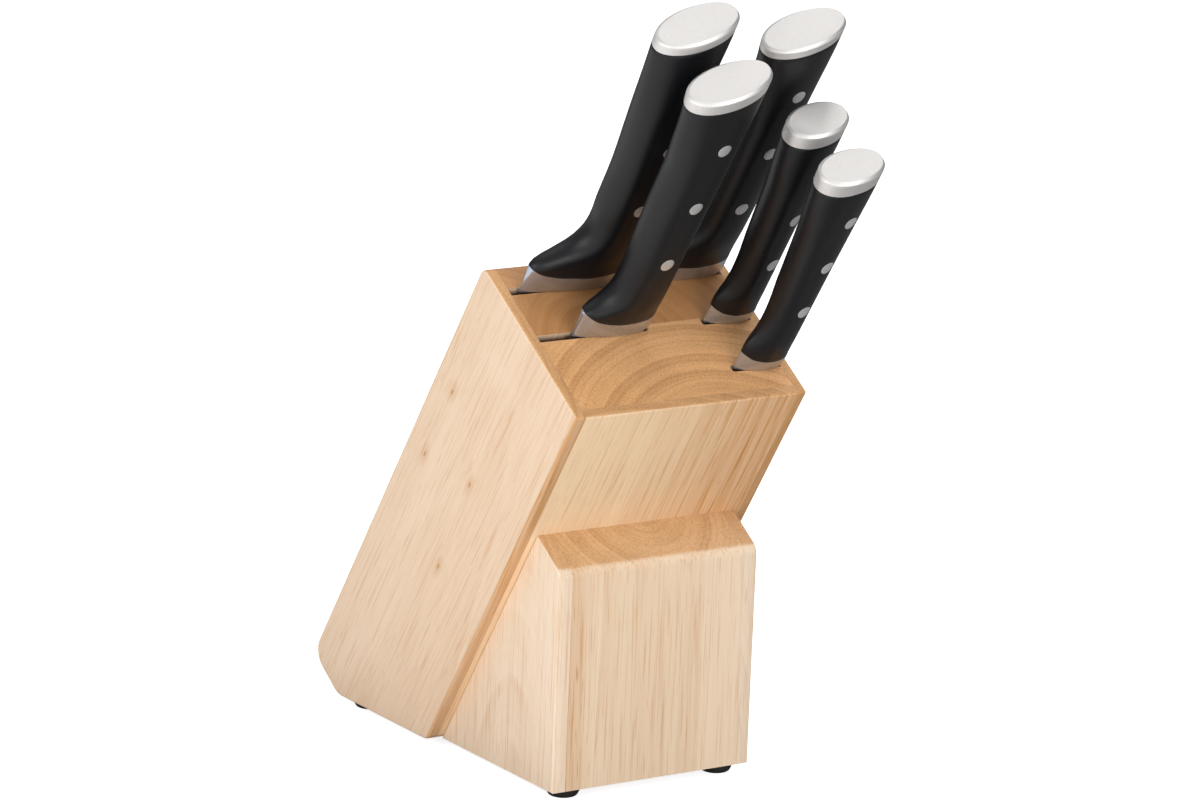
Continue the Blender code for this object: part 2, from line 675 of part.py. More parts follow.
def build_knife(shop, knife, leaning):
    """One knife, carried by an empty on the line that it slides along."""
    place = (knife.spine_x, knife.depth, FRONT_LENGTH)
    carrier = add_empty(knife.name, shop.pieces, leaning, place)
    half_tang = knife.tang_width / 2 + CLEARANCE
    slot_half = TANG_THICKNESS / 2 + CLEARANCE
    slot_top = knife.cap_top - knife.cap_band - 0.007
    tang_slot = shop.box(knife.name + "_tang_slot",
                         (knife.tang_middle - half_tang, -slot_half, BOLSTER_FOOT - 0.002),
                         (knife.tang_middle + half_tang, slot_half, slot_top), carrier)
    holes = []
    for number, (height, x) in enumerate(zip(knife.rivets, knife.rivet_x), 1):
        level = height * knife.stretch + knife.rivet_lift
        half = knife.half_thickness(level)
        holes.append(shop.rod(f"{knife.name}_rivet_hole_{number}", RIVET_RADIUS + CLEARANCE,
                              (x, -half - 0.002, level), (x, half + 0.002, level), carrier))
        shop.rod(f"{knife.name}_rivet_{number}", RIVET_RADIUS, (x, -half, level),
                 (x, half, level), carrier, "steel")
    build_blade(shop, knife, carrier, holes)
    build_bolster(shop, knife, carrier, tang_slot)
    build_grip(shop, knife, carrier, tang_slot, holes)
    build_end_cap(shop, knife, carrier)


def centre_on_footprint(shop, root):
    """Move everything so that the origin is the middle of the footprint, at the floor."""
    bpy.context.view_layer.update()
    graph = bpy.context.evaluated_depsgraph_get()
    low, high = Vector((1, 1, 1)), Vector((-1, -1, -1))
    for piece in shop.pieces.objects:
        if piece.type != "MESH":
            continue
        seen = piece.evaluated_get(graph)
        for vertex in seen.data.vertices:
            place = seen.matrix_world @ vertex.co
            low = Vector(map(min, low, place))
            high = Vector(map(max, high, place))
    root.location = (-(low.x + high.x) / 2, -(low.y + high.y) / 2, -low.z)
    bpy.context.view_layer.update()
    print("block origin", [round(value, 6) for value in root.location])
    print("size", [round(value, 6) for value in high - low])


def main():
    """Build the block, its feet and its knives."""
    clear_scene()
    shop = Workshop()
    root = add_empty("block", shop.pieces)
    leaning = add_empty("leaning_block", shop.pieces, root, lean=LEAN)
    pilots = screw_holes(shop, root)
    dowels = dowel_holes(shop, leaning)
    build_leaning_block(shop, leaning, pilots, dowels)
    build_prop(shop, root, pilots, dowels)
    build_dowels(shop, leaning)
    build_feet(shop, root)
    for knife in KNIVES:
        build_knife(shop, knife, leaning)
    centre_on_footprint(shop, root)


main()
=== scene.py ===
"""A slanted wooden knife block with five knives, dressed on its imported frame.

Metres, +Z up, origin in the middle of the footprint. Inside the block, "across" is X, "depth"
runs back from the front face and "along" runs up the lean from the bottom front corner. A
knife's own frame keeps those directions, with X measured from its spine and Z from the top face.
"""

import logging
import math
from collections.abc import Callable, Sequence
from dataclasses import dataclass, field
from enum import Enum

import bmesh
import bpy
from mathutils import Matrix, Vector


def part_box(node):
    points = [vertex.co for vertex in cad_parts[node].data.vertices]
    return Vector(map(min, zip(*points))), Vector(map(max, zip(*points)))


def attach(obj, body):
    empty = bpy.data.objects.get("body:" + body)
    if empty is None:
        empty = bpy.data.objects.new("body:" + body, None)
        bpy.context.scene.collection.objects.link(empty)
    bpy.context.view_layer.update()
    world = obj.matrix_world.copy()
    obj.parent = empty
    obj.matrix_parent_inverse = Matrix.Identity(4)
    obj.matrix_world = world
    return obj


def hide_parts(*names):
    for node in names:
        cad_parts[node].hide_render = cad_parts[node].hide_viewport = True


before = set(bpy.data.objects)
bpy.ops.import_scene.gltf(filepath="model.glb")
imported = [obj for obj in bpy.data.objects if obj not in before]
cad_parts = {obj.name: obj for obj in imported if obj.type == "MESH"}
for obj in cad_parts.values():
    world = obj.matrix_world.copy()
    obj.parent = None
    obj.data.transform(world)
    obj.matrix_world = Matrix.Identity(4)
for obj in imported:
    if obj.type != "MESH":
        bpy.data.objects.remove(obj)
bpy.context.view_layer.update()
log = logging.getLogger("knife_block")

LEAN = math.radians(32.95)
BLOCK_WIDTH = 0.110
BLOCK_DEPTH = 0.0858
FRONT_LENGTH = 0.190
TAIL_LENGTH = 0.0398
FOOT_HEIGHT = 0.0039
FOOT_ACROSS = 0.01795
FOOT_AHEAD = 0.0760
TINY = 1e-5
WELD = 5e-7
CORNER_REACH = 0.0004
Table = Sequence[tuple[float, float]]
Place = Callable[[float, int], Vector]


def smooth_value(table: Table, at: float) -> float:
    """Read a smooth curve drawn through points.

    Args:
        table: (position, value) points in rising order.
        at: Where to read the curve.

    Returns:
        The curve's value, held past its ends.
    """
    if at <= table[0][0]:
        return table[0][1]
    if at >= table[-1][0]:
        return table[-1][1]
    step = next(i for i in range(len(table) - 1) if at <= table[i + 1][0])
    (x0, y0), (x1, y1) = table[step], table[step + 1]
    before, after = table[max(step - 1, 0)], table[min(step + 2, len(table) - 1)]
    span = x1 - x0
    slope_in = (y1 - before[1]) / (x1 - before[0]) * span
    slope_out = (after[1] - y0) / (after[0] - x0) * span
    t = (at - x0) / span
    return ((2 * t**3 - 3 * t**2 + 1) * y0 + (t**3 - 2 * t**2 + t) * slope_in
            + (3 * t**2 - 2 * t**3) * y1 + (t**3 - t**2) * slope_out)


def block_frame() -> Matrix:
    """Place the block by its front left foot.

    Returns:
        The matrix from the across-depth-along frame to the world.
    """
    low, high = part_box("front_left_foot")
    middle = (low + high) / 2
    root = Vector((middle.x - FOOT_ACROSS, middle.y + FOOT_AHEAD, FOOT_HEIGHT))
    return Matrix.Translation(root) @ Matrix.Rotation(LEAN, 4, "X")


# ---------------------------------------------------------------------------------------------
# Finishes
# ---------------------------------------------------------------------------------------------


@dataclass(frozen=True)
class Value:
    """A number that varies over a surface; sums on it become Math nodes."""

    graph: "Graph"
    socket: bpy.types.NodeSocket

    def math(self, operation: str, *others: "Value | float", flip: bool = False) -> "Value":
        """Add one Math node.

        Args:
            operation: The node's operation.
            others: The other operands.
            flip: True puts this value second.

        Returns:
            The node's result.
        """
        operands = [self, *others]
        if flip:
            operands.reverse()
        node = self.graph.node("ShaderNodeMath", {"operation": operation},
                               dict(enumerate(operands)))
        return Value(self.graph, node.outputs[0])

    def __add__(self, other: "Value | float") -> "Value":
        """Return the sum."""
        return self.math("ADD", other)

    def __sub__(self, other: "Value | float") -> "Value":
        """Return the difference."""
        return self.math("SUBTRACT", other)

    def __rsub__(self, other: float) -> "Value":
        """Return a number minus this value."""
        return self.math("SUBTRACT", other, flip=True)

    def __mul__(self, other: "Value | float") -> "Value":
        """Return the product."""
        return self.math("MULTIPLY", other)

    def __pow__(self, other: "Value | float") -> "Value":
        """Return the power."""
        return self.math("POWER", other)

    __radd__ = __add__
    __rmul__ = __mul__

    def fade(self, low: float, high: float) -> "Value":
        """Turn a range into a soft step.

        Args:
            low: Where the step starts; it may be above high.
            high: Where the step is full.

        Returns:
            0 before low and 1 past high.
        """
        node = self.graph.node("ShaderNodeMapRange", {"interpolation_type": "SMOOTHSTEP"},
                               {"Value": self, "From Min": low, "From Max": high})
        return Value(self.graph, node.outputs["Result"])


class Graph:
    """The nodes of one material."""

    def __init__(self, name: str) -> None:
        """Start a material that holds only its surface shader.

        Args:
            name: The material's name.
        """
        self.material = bpy.data.materials.new(name)
        self.material.use_nodes = True
        self.tree = self.material.node_tree
        self.surface = self.tree.nodes["Principled BSDF"]

    def node(self, kind: str, settings: dict[str, object],
             inputs: dict[str | int, object]) -> bpy.types.Node:
        """Add a node.

        Args:
            kind: The node's type name.
            settings: Its own settings, set first.
            inputs: Values or links by socket name or number.

        Returns:
            The new node.
        """
        node = self.tree.nodes.new(kind)
        for key, setting in settings.items():
            setattr(node, key, setting)
        for key, given in inputs.items():
            self.connect(node.inputs[key], given)
        return node

    def connect(self, socket: bpy.types.NodeSocket, given: object) -> None:
        """Link a value or socket into a socket, or set its constant.

        Args:
            socket: The socket to fill.
            given: A value, a socket or a constant.
        """
        if isinstance(given, Value):
            given = given.socket
        if isinstance(given, bpy.types.NodeSocket):
            self.tree.links.new(given, socket)
        else:
            socket.default_value = given

    def finish(self, **inputs: object) -> bpy.types.Material:
        """Set the surface shader's sockets.

        Args:
            inputs: What goes into each socket; underscores stand for spaces.

        Returns:
            The finished material.
        """
        for key, given in inputs.items():
            self.connect(self.surface.inputs[key.replace("_", " ")], given)
        return self.material

    def place(self, lean: float = 0.0,
              shift: Sequence[float] = (0, 0, 0)) -> bpy.types.NodeSocket:
        """Give the surface point in a turned and shifted frame.

        Args:
            lean: The frame's turn about X.
            shift: What is added after the turn.

        Returns:
            The point's socket.
        """
        point = self.node("ShaderNodeTexCoord", {}, {}).outputs["Object"]
        turned = self.node("ShaderNodeMapping", {"vector_type": "POINT"},
                           {"Vector": point, "Rotation": (-lean, 0, 0), "Location": shift})
        return turned.outputs[0]

    def noise(self, point: bpy.types.NodeSocket, stretch: Sequence[float], detail: float = 2.0,
              roughness: float = 0.5) -> Value:
        """Make cloudy variation.

        Args:
            point: Where to read it.
            stretch: Its fineness along the three axes.
            detail: How many finer layers it holds.
            roughness: How strong those layers are.

        Returns:
            A value that averages 0.5.
        """
        scaled = self.node("ShaderNodeMapping", {"vector_type": "POINT"},
                           {"Vector": point, "Scale": stretch})
        node = self.node("ShaderNodeTexNoise", {},
                         {"Vector": scaled.outputs[0], "Scale": 1.0, "Detail": detail,
                          "Roughness": roughness})
        return Value(self, node.outputs[0])

    def noise_along(self, at: Value) -> Value:
        """Return noise that changes along one number only."""
        node = self.node("ShaderNodeTexNoise", {"noise_dimensions": "1D"},
                         {"W": at, "Scale": 1.0, "Detail": 2.0})
        return Value(self, node.outputs[0])

    def part(self, point: bpy.types.NodeSocket, axis: str) -> Value:
        """Return one of a vector's three numbers."""
        return Value(self, self.node("ShaderNodeSeparateXYZ", {}, {0: point}).outputs[axis])

    def mix(self, share: Value | float, first: object, second: object) -> bpy.types.NodeSocket:
        """Mix two colours.

        Args:
            share: The second colour's share.
            first: A colour or its socket.
            second: A colour or its socket.

        Returns:
            The mixed colour's socket.
        """
        node = self.node("ShaderNodeMix", {"data_type": "RGBA"},
                         {0: share, 6: self.solid(first), 7: self.solid(second)})
        return node.outputs[2]

    @staticmethod
    def solid(colour: object) -> object:
        """Give a three-number colour its fourth number."""
        return (*colour, 1.0) if isinstance(colour, tuple) else colour

    def bump(self, height: Value, distance: float) -> bpy.types.NodeSocket:
        """Return a normal disturbed by a height times a distance in metres."""
        node = self.node("ShaderNodeBump", {}, {"Height": height, "Distance": distance,
                                              "Strength": 1.0})
        return node.outputs[0]


@dataclass(frozen=True)
class Layer:
    """Noise that shows only where it passes a level."""

    stretch: tuple[float, float, float]
    detail: float
    start: float
    full: float
    roughness: float = 0.5
    weight: float = 1.0

    def build(self, g: Graph, point: bpy.types.NodeSocket) -> Value:
        """Make the layer.

        Args:
            g: The material's nodes.
            point: Where to read the noise.

        Returns:
            0 where the layer is absent and 1 where it is full.
        """
        return g.noise(point, self.stretch, self.detail, self.roughness).fade(self.start,
                                                                              self.full)


FINE_LINES = Layer((1200, 1200, 24), 3, 0.515, 0.67, 0.6, weight=0.34)
STREAKS = Layer((520, 520, 10), 3, 0.51, 0.70, 0.55, weight=0.6)
BROAD_BANDS = Layer((40, 40, 3), 2, 0.32, 0.70, weight=0.10)
UNEVENNESS = Layer((60, 60, 6), 2, 0.30, 0.75, weight=0.75)
DASHES = Layer((1250, 1250, 75), 1, 0.62, 0.74, weight=0.26)
DASH_CLUMPS = Layer((75, 75, 11), 2, 0.42, 0.62, weight=0.60)
END_CLOUDS = Layer((70, 70, 70), 3, 0.35, 0.7, weight=0.12)


@dataclass(frozen=True)
class Timber:
    """Oiled beech sawn so that its growth rings turn about one pith line.

    The pith is given across the board and behind its front, ring is one year's growth and tilt
    slants the pith. Heart runs from pale to dark wood across the board, edge paints shade onto its
    front edge, and each knot is given by its depth and its height.
    """

    name: str
    pith: tuple[float, float]
    ring: float = 0.0050
    pale: tuple[float, float, float] = (0.86, 0.665, 0.49)
    brown: tuple[float, float, float] = (0.60, 0.305, 0.115)
    end_pale: tuple[float, float, float] = (0.71, 0.41, 0.19)
    end_brown: tuple[float, float, float] = (0.42, 0.18, 0.055)
    dash_brown: tuple[float, float, float] = (0.48, 0.19, 0.050)
    # Painted shade: a near-black brown for the faces inside the slots and joints.
    painted_slot_shade: tuple[float, float, float] = (0.085, 0.036, 0.014)
    lean: float = LEAN
    seed: float = 0.0
    streak: float = 0.5
    figure: float = 0.4
    tilt: float = 0.0
    heart: tuple[float, float] = (9.0, 9.1)
    edge: float = 0.0
    knots: tuple[tuple[float, float], ...] = ()
    end_rings: float = 0.30
    grain_depth: float = 0.00003

    def build(self) -> bpy.types.Material:
        """Make the material.

        Returns:
            The wood, with long grain on its sides and rings on its sawn ends.
        """
        g = Graph(self.name)
        sawn = Matrix.Translation(block_frame().translation) @ Matrix.Rotation(self.lean, 4, "X")
        origin = sawn.inverted().translation
        point = g.place(self.lean, (origin.x + self.seed, origin.y, origin.z))
        plain = g.place(self.lean, tuple(origin))
        late, fine_rings, rays = self.rings(g, point, plain)
        lines, dashes = FINE_LINES.build(g, point), DASHES.build(g, point)
        clumps = DASH_CLUMPS.build(g, point) * DASH_CLUMPS.weight
        dashes = dashes * (1 - DASH_CLUMPS.weight + clumps)
        # heart holds the dark heart plus the painted shade on the front edge.
        heart = self.heart_and_edge_shade(g, plain)
        grain = self.long_grain(g, point, late, fine_rings, lines, heart)
        for depth, height in self.knots:
            grain = grain + self.knot(g, plain, depth, height)
        side = g.mix(grain, self.pale, self.brown)
        side = g.mix(dashes * (DASHES.weight + heart * 0.42), side, self.dash_brown)
        speck = g.noise(plain, (1400, 1400, 1400), 3, 0.7)
        ends = g.mix(late * self.end_rings + fine_rings * 0.16 + rays * 0.08
                     + END_CLOUDS.build(g, point) * END_CLOUDS.weight
                     + speck.fade(0.46, 0.64) * 0.42, self.end_pale, self.end_brown)
        cut = self.across_grain(g)
        surface = g.mix(cut, side, ends)
        # Painted shade: faces inside the block, in the slots and joints, are mixed towards near
        # black as if unlit.
        if self.lean:
            surface = g.mix(self.painted_inside_shade(g, plain) * 0.85, surface, self.painted_slot_shade)
        height = lines * 0.4 + dashes * 0.5 - speck * cut * 0.8
        return g.finish(Base_Color=surface, Roughness=0.50 + lines * 0.12,
                        Normal=g.bump(1.0 - height, self.grain_depth), Specular_IOR_Level=0.32)

    def heart_and_edge_shade(self, g: Graph, plain: bpy.types.NodeSocket) -> Value:
        """Find the darker heart and the painted shade on the front edge.

        Args:
            g: The material's nodes.
            plain: The surface point in the board's frame.

        Returns:
            1 in the dark heart, plus up to the edge's share of painted shade on the front edge.
        """
        # Painted shade: the front edge is darkened as if shaded.
        front_edge_shade = g.part(plain, "Y").fade(0.0018, 0.0006)
        return g.part(plain, "X").fade(*self.heart) + front_edge_shade * self.edge

    def long_grain(self, g: Graph, point: bpy.types.NodeSocket, late: Value,
                   fine_rings: Value, lines: Value, heart: Value) -> Value:
        """Lay the grain's layers over each other.

        Args:
            g: The material's nodes.
            point: The surface point, shifted so that no two boards match.
            late: The late wood of each year.
            fine_rings: The finer rings between.
            lines: The finest lines.
            heart: How much dark heart there is, plus painted shade on the front edge.

        Returns:
            The share of brown in the long grain.
        """
        streaks, uneven = STREAKS.build(g, point), UNEVENNESS.build(g, point)
        patchy = 1 - UNEVENNESS.weight + uneven * UNEVENNESS.weight
        return (late * uneven * self.figure + lines * FINE_LINES.weight
                + BROAD_BANDS.build(g, point) * BROAD_BANDS.weight
                + streaks * patchy * self.streak * STREAKS.weight
                + fine_rings * self.figure * 0.20 + heart * (0.40 + streaks * 0.40))

    def across_grain(self, g: Graph) -> Value:
        """Find the faces that cut the grain.

        Args:
            g: The material's nodes.

        Returns:
            1 on sawn ends and 0 along the grain.
        """
        facing = g.node("ShaderNodeTexCoord", {}, {}).outputs["Normal"]
        along = (0.0, -math.sin(self.lean), math.cos(self.lean))
        dot = g.node("ShaderNodeVectorMath", {"operation": "DOT_PRODUCT"}, {0: facing, 1: along})
        return Value(g, dot.outputs["Value"]).math("ABSOLUTE").fade(0.55, 0.90)

    @staticmethod
    def knot(g: Graph, plain: bpy.types.NodeSocket, depth: float, height: float) -> Value:
        """Draw one pin knot and the warm wood round it.

        Args:
            g: The material's nodes.
            plain: The surface point in the board's frame.
            depth: How far behind the board's front edge the knot lies.
            height: How far up the board the knot lies.

        Returns:
            The knot's share of brown.
        """
        back, up = g.part(plain, "Y") - depth, (g.part(plain, "Z") - height) * 0.5
        away = (back * back + up * up) ** 0.5
        core, halo = away.fade(0.0010, 0.0003), away.fade(0.0042, 0.0006)
        return core * 0.65 + halo * 0.30

    @staticmethod
    def painted_inside_shade(g: Graph, plain: bpy.types.NodeSocket) -> Value:
        """Find the faces inside the block, in its slots and joints, that get painted shade.

        Args:
            g: The material's nodes.
            plain: The surface point in the board's frame.

        Returns:
            1 inside the block and 0 on its outer faces.
        """
        across, depth, along = (g.part(plain, axis) for axis in "XYZ")
        level = g.part(g.node("ShaderNodeTexCoord", {}, {}).outputs["Object"], "Z")
        inside = level.fade(0.0050, 0.0065)
        for distance, outer, inner in ((across, 0.0020, 0.0030), (across, 0.1080, 0.1070),
                                       (depth, 0.0015, 0.0025), (depth, 0.0828, 0.0822),
                                       (along, -0.0375, -0.0360), (along, 0.1898, 0.1860)):
            inside = inside * distance.fade(outer, inner)
        return inside

    def rings(self, g: Graph, point: bpy.types.NodeSocket,
              plain: bpy.types.NodeSocket) -> tuple[Value, Value, Value]:
        """Lay out the growth rings.

        Args:
            g: The material's nodes.
            point: The surface point, shifted so that no two boards match.
            plain: The surface point in the board's frame.

        Returns:
            The late wood of each year, the finer rings between, and the rays.
        """
        wander = g.noise(point, (26, 26, 6)) - 0.5
        wobble = g.noise(point, (120, 120, 14)) - 0.5
        across = (g.part(plain, "X") - self.pith[0] + g.part(plain, "Z") * self.tilt
                  + wander * 0.005)
        depth = g.part(plain, "Y") - self.pith[1]
        radius = (across * across + depth * depth) ** 0.5 + wobble * 0.0012
        years = radius * (1 / self.ring)
        turn = years.math("FRACT")
        number = g.node("ShaderNodeTexWhiteNoise", {"noise_dimensions": "1D"},
                        {"W": years.math("FLOOR") + self.seed})
        strength = 0.30 + Value(g, number.outputs["Value"]) * 0.70
        late = turn.fade(0.05, 0.88) * turn.fade(1.0, 0.90) * strength
        fine_rings = g.noise_along(radius * 620 + self.seed).fade(0.38, 0.70)
        rays = g.noise_along(across.math("ARCTAN2", depth) * 75).fade(0.40, 0.70)
        return late, fine_rings, rays


@dataclass(frozen=True)
class Steel:
    """Stainless steel, brushed along one direction of the leaning frame."""

    name: str
    brush: tuple[float, float, float]
    colour: tuple[float, float, float]
    roughness: float
    metal: float
    depth: float = 0.00001
    shade: float = 0.84

    def build(self) -> bpy.types.Material:
        """Make the material.

        Returns:
            The steel.
        """
        g = Graph(self.name)
        point = g.place(LEAN)
        lines = g.noise(point, self.brush, 3, 0.65)
        cloud = g.noise(point, (60, 60, 60), 2)
        tone = g.mix(lines.fade(0.3, 0.7) * 0.45 + cloud * 0.1, self.colour,
                     tuple(c * self.shade for c in self.colour))
        return g.finish(Base_Color=tone, Metallic=self.metal,
                        Roughness=self.roughness + lines * 0.12 + cloud * 0.04,
                        Normal=g.bump(lines, self.depth))


@dataclass(frozen=True)
class Moulded:
    """Black satin plastic or rubber with a fine moulded skin."""

    name: str
    colour: tuple[float, float, float] = (0.0036, 0.0038, 0.0048)
    roughness: float = 0.33
    skin: float = 0.00002
    level: float = 0.32
    bloom: float = 1.9

    def build(self) -> bpy.types.Material:
        """Make the material.

        Returns:
            The plastic or rubber.
        """
        g = Graph(self.name)
        point = g.place(LEAN)
        skin = g.noise(point, (1500, 1500, 1500), 2, 0.6)
        scuffs = g.noise(point, (2200, 2200, 140), 2).fade(0.62, 0.80)
        cloud = g.noise(point, (120, 120, 60), 3)
        tone = g.mix(skin * 0.5 + cloud * 0.4, self.colour,
                     tuple(c * self.bloom for c in self.colour))
        return g.finish(Base_Color=tone, Specular_IOR_Level=self.level,
                        Roughness=self.roughness + cloud * 0.08 + scuffs * 0.10 + skin * 0.05,
                        Normal=g.bump(skin + scuffs * 0.6, self.skin))


class Finishes:
    """Every finish, made once and shared."""

    def __init__(self) -> None:
        """Make the timbers, steels, plastic and rubber."""
        timbers = (
            # edge paints shade onto each cheek's front edge, as if shaded by the prop.
            Timber("left_cheek_beech", (-0.16, 0.05), seed=0.31, streak=0.24, figure=0.20,
                   tilt=0.06, edge=1.4,
                   knots=((0.072, 0.132), (0.072, 0.096), (0.040, 0.111), (0.037, 0.066))),
            Timber("right_cheek_beech", (0.27, 0.02), seed=1.70, streak=0.30, figure=0.24,
                   tilt=-0.05, edge=2.0, knots=((0.030, 0.150), (0.060, 0.035))),
            Timber("facing_beech", (0.03, -0.13), 0.0048, (0.97, 0.73, 0.475),
                   (0.62, 0.27, 0.075), seed=2.4, streak=0.34, tilt=0.05, heart=(0.040, 0.098)),
            Timber("front_board_beech", (0.066, -0.040), 0.0084, seed=3.2,
                   end_pale=(0.86, 0.48, 0.215)),
            # The rear and back boards' end grain is darker, partly their own tone and partly
            # painted shade from the handles above them.
            Timber("rear_board_shaded_beech", (0.038, 0.034), 0.0066, seed=5.3,
                   end_pale=(0.54, 0.27, 0.105), end_rings=0.50),
            Timber("back_board_shaded_beech", (0.040, 0.140), 0.0044, seed=6.2,
                   end_pale=(0.54, 0.285, 0.125)),
            Timber("prop_core_beech", (0.060, -0.058), 0.0105, (0.90, 0.715, 0.525), lean=0.0,
                   seed=7.1, streak=0.40, figure=0.25, heart=(0.028, 0.010), end_rings=0.26,
                   end_pale=(0.78, 0.485, 0.24)),
            Timber("prop_side_beech", (-0.012, -0.052), 0.0080, (0.90, 0.73, 0.56), lean=0.0,
                   seed=8.5, streak=0.24, figure=0.21, tilt=0.30, end_rings=0.22),
        )
        steels = (
            Steel("cap_steel", (500, 6000, 500), (0.73, 0.71, 0.695), 0.40, 0.70),
            Steel("bolster_steel", (260, 260, 3000), (0.50, 0.565, 0.68), 0.11, 0.86),
            Steel("blade_steel", (240, 240, 4200), (0.57, 0.57, 0.575), 0.20, 1.0),
            Steel("rivet_steel", (1500, 1500, 1500), (0.84, 0.83, 0.82), 0.33, 0.80),
        )
        plastics = (Moulded("handle_plastic"),
                    Moulded("foot_rubber", (0.012, 0.012, 0.012), 0.62, 0.00004, 0.35))
        self.made = {finish.name: finish.build() for finish in (*timbers, *steels, *plastics)}

    def __getitem__(self, name: str) -> bpy.types.Material:
        """Return a finish by its name."""
        return self.made[name]


class Slot(Enum):
    """The record's material slots."""

    WOOD = "beech"
    STEEL = "brushed_steel"
    PLASTIC = "black_plastic"
    RUBBER = "black_rubber"


# ---------------------------------------------------------------------------------------------
# Bench tools
# ---------------------------------------------------------------------------------------------


class Bench:
    """Adds primitives, shapes them in edit mode and seats them on the frame."""

    def __init__(self, finishes: Finishes) -> None:
        """Keep the finishes and start the list of pieces.

        Args:
            finishes: Every finish.
        """
        self.finishes = finishes
        self.pieces: list[bpy.types.Object] = []

    @staticmethod
    def alone(piece: bpy.types.Object | None = None) -> None:
        """Deselect everything, then select and activate one piece.

        Args:
            piece: The piece, or none.
        """
        bpy.ops.object.select_all(action="DESELECT")
        if piece:
            piece.select_set(True)
            bpy.context.view_layer.objects.active = piece

    def cube(self, name: str, low: Sequence[float], high: Sequence[float]) -> bpy.types.Object:
        """Add a block of material.

        Args:
            name: The piece's name.
            low: Its lowest corner.
            high: Its highest corner.

        Returns:
            The new piece.
        """
        self.alone()
        low, high = Vector(low), Vector(high)
        bpy.ops.mesh.primitive_cube_add(size=1.0, location=(low + high) / 2, scale=high - low)
        return self.named(name)

    def drum(self, name: str, radius: float, low: float, high: float,
             centre: Sequence[float]) -> bpy.types.Object:
        """Add an upright drum.

        Args:
            name: The piece's name.
            radius: Its radius.
            low: The height of its foot.
            high: The height of its top.
            centre: Its place on the floor plan.

        Returns:
            The new piece.
        """
        self.alone()
        bpy.ops.mesh.primitive_cylinder_add(vertices=64, radius=radius, depth=high - low,
                                            location=(*centre, (low + high) / 2))
        return self.named(name)

    @staticmethod
    def named(name: str) -> bpy.types.Object:
        """Name the new primitive and put its place into its mesh.

        Args:
            name: The piece's name.

        Returns:
            The primitive.
        """
        piece = bpy.context.object
        piece.name = piece.data.name = name
        bpy.ops.object.transform_apply(location=True, rotation=True, scale=True)
        return piece

    def select(self, piece: bpy.types.Object, mode: str,
               chosen: Callable[[object], bool]) -> int:
        """Enter edit mode and select the faces or edges that a test picks.

        Args:
            piece: The piece to edit.
            mode: FACE, EDGE or VERT.
            chosen: Says whether one face, edge or vertex is wanted.

        Returns:
            How many were selected.
        """
        self.alone(piece)
        bpy.ops.object.mode_set(mode="EDIT")
        bpy.ops.mesh.select_mode(type=mode)
        bpy.ops.mesh.select_all(action="DESELECT")
        form = bmesh.from_edit_mesh(piece.data)
        wanted = {"FACE": form.faces, "EDGE": form.edges, "VERT": form.verts}[mode]
        picked = [item for item in wanted if chosen(item)]
        for item in picked:
            item.select_set(True)
        form.select_flush_mode()
        bmesh.update_edit_mesh(piece.data)
        return len(picked)

    @staticmethod
    def leave() -> None:
        """Leave edit mode."""
        bpy.ops.object.mode_set(mode="OBJECT")

    def saw(self, piece: bpy.types.Object, point: Sequence[float],
            normal: Sequence[float]) -> None:
        """Saw off one side and close the cut.

        Args:
            piece: The piece to saw.
            point: A point on the cut.
            normal: Points to the side that falls away.
        """
        self.select(piece, "VERT", lambda v: True)
        bpy.ops.mesh.bisect(plane_co=point, plane_no=normal, use_fill=True, clear_outer=True)
        self.leave()

    def round_edges(self, piece: bpy.types.Object, chosen: Callable[[bmesh.types.BMEdge], bool],
                    radius: float, segments: int) -> None:
        """Round the chosen edges.

        Args:
            piece: The piece to round.
            chosen: Says whether one edge is wanted.
            radius: How far the rounding reaches.
            segments: How many flats it is made of.
        """
        if self.select(piece, "EDGE", chosen):
            bpy.ops.mesh.bevel(offset=radius, segments=segments, profile=0.5,
                               clamp_overlap=True)
        self.leave()

    def cut(self, piece: bpy.types.Object, cutter: bpy.types.Object) -> None:
        """Cut a piece with another and throw the cutter away.

        Args:
            piece: The piece to cut.
            cutter: The shape that is taken out of it.
        """
        self.alone(piece)
        modifier = piece.modifiers.new("cut", "BOOLEAN")
        modifier.operation = "DIFFERENCE"
        modifier.solver = "EXACT"
        modifier.object = cutter
        bpy.ops.object.modifier_apply(modifier=modifier.name)
        bpy.data.objects.remove(cutter, do_unlink=True)

    def skin(self, name: str, around: int, rows: int, place: Place) -> bpy.types.Object:
        """Roll a sheet into a tube, form it row by row and close its ends.

        Args:
            name: The piece's name.
            around: Points in one row.
            rows: Number of rows, one more than the bands between them.
            place: Gives a point from its turn (0 to 1) and its row number.

        Returns:
            The closed piece.
        """
        self.alone()
        bpy.ops.mesh.primitive_grid_add(x_subdivisions=around, y_subdivisions=rows - 1, size=1.0)
        piece = self.named(name)
        for vertex in piece.data.vertices:
            row = round((vertex.co.y + 0.5) * (rows - 1))
            vertex.co = place(round((vertex.co.x + 0.5) * around) % around / around, row)
        self.select(piece, "VERT", lambda v: True)
        bpy.ops.mesh.remove_doubles(threshold=WELD)
        self.leave()
        self.select(piece, "EDGE", lambda e: e.is_boundary)
        bpy.ops.mesh.fill_holes(sides=0)
        bpy.ops.mesh.select_all(action="SELECT")
        bpy.ops.mesh.normals_make_consistent(inside=False)
        self.leave()
        return piece

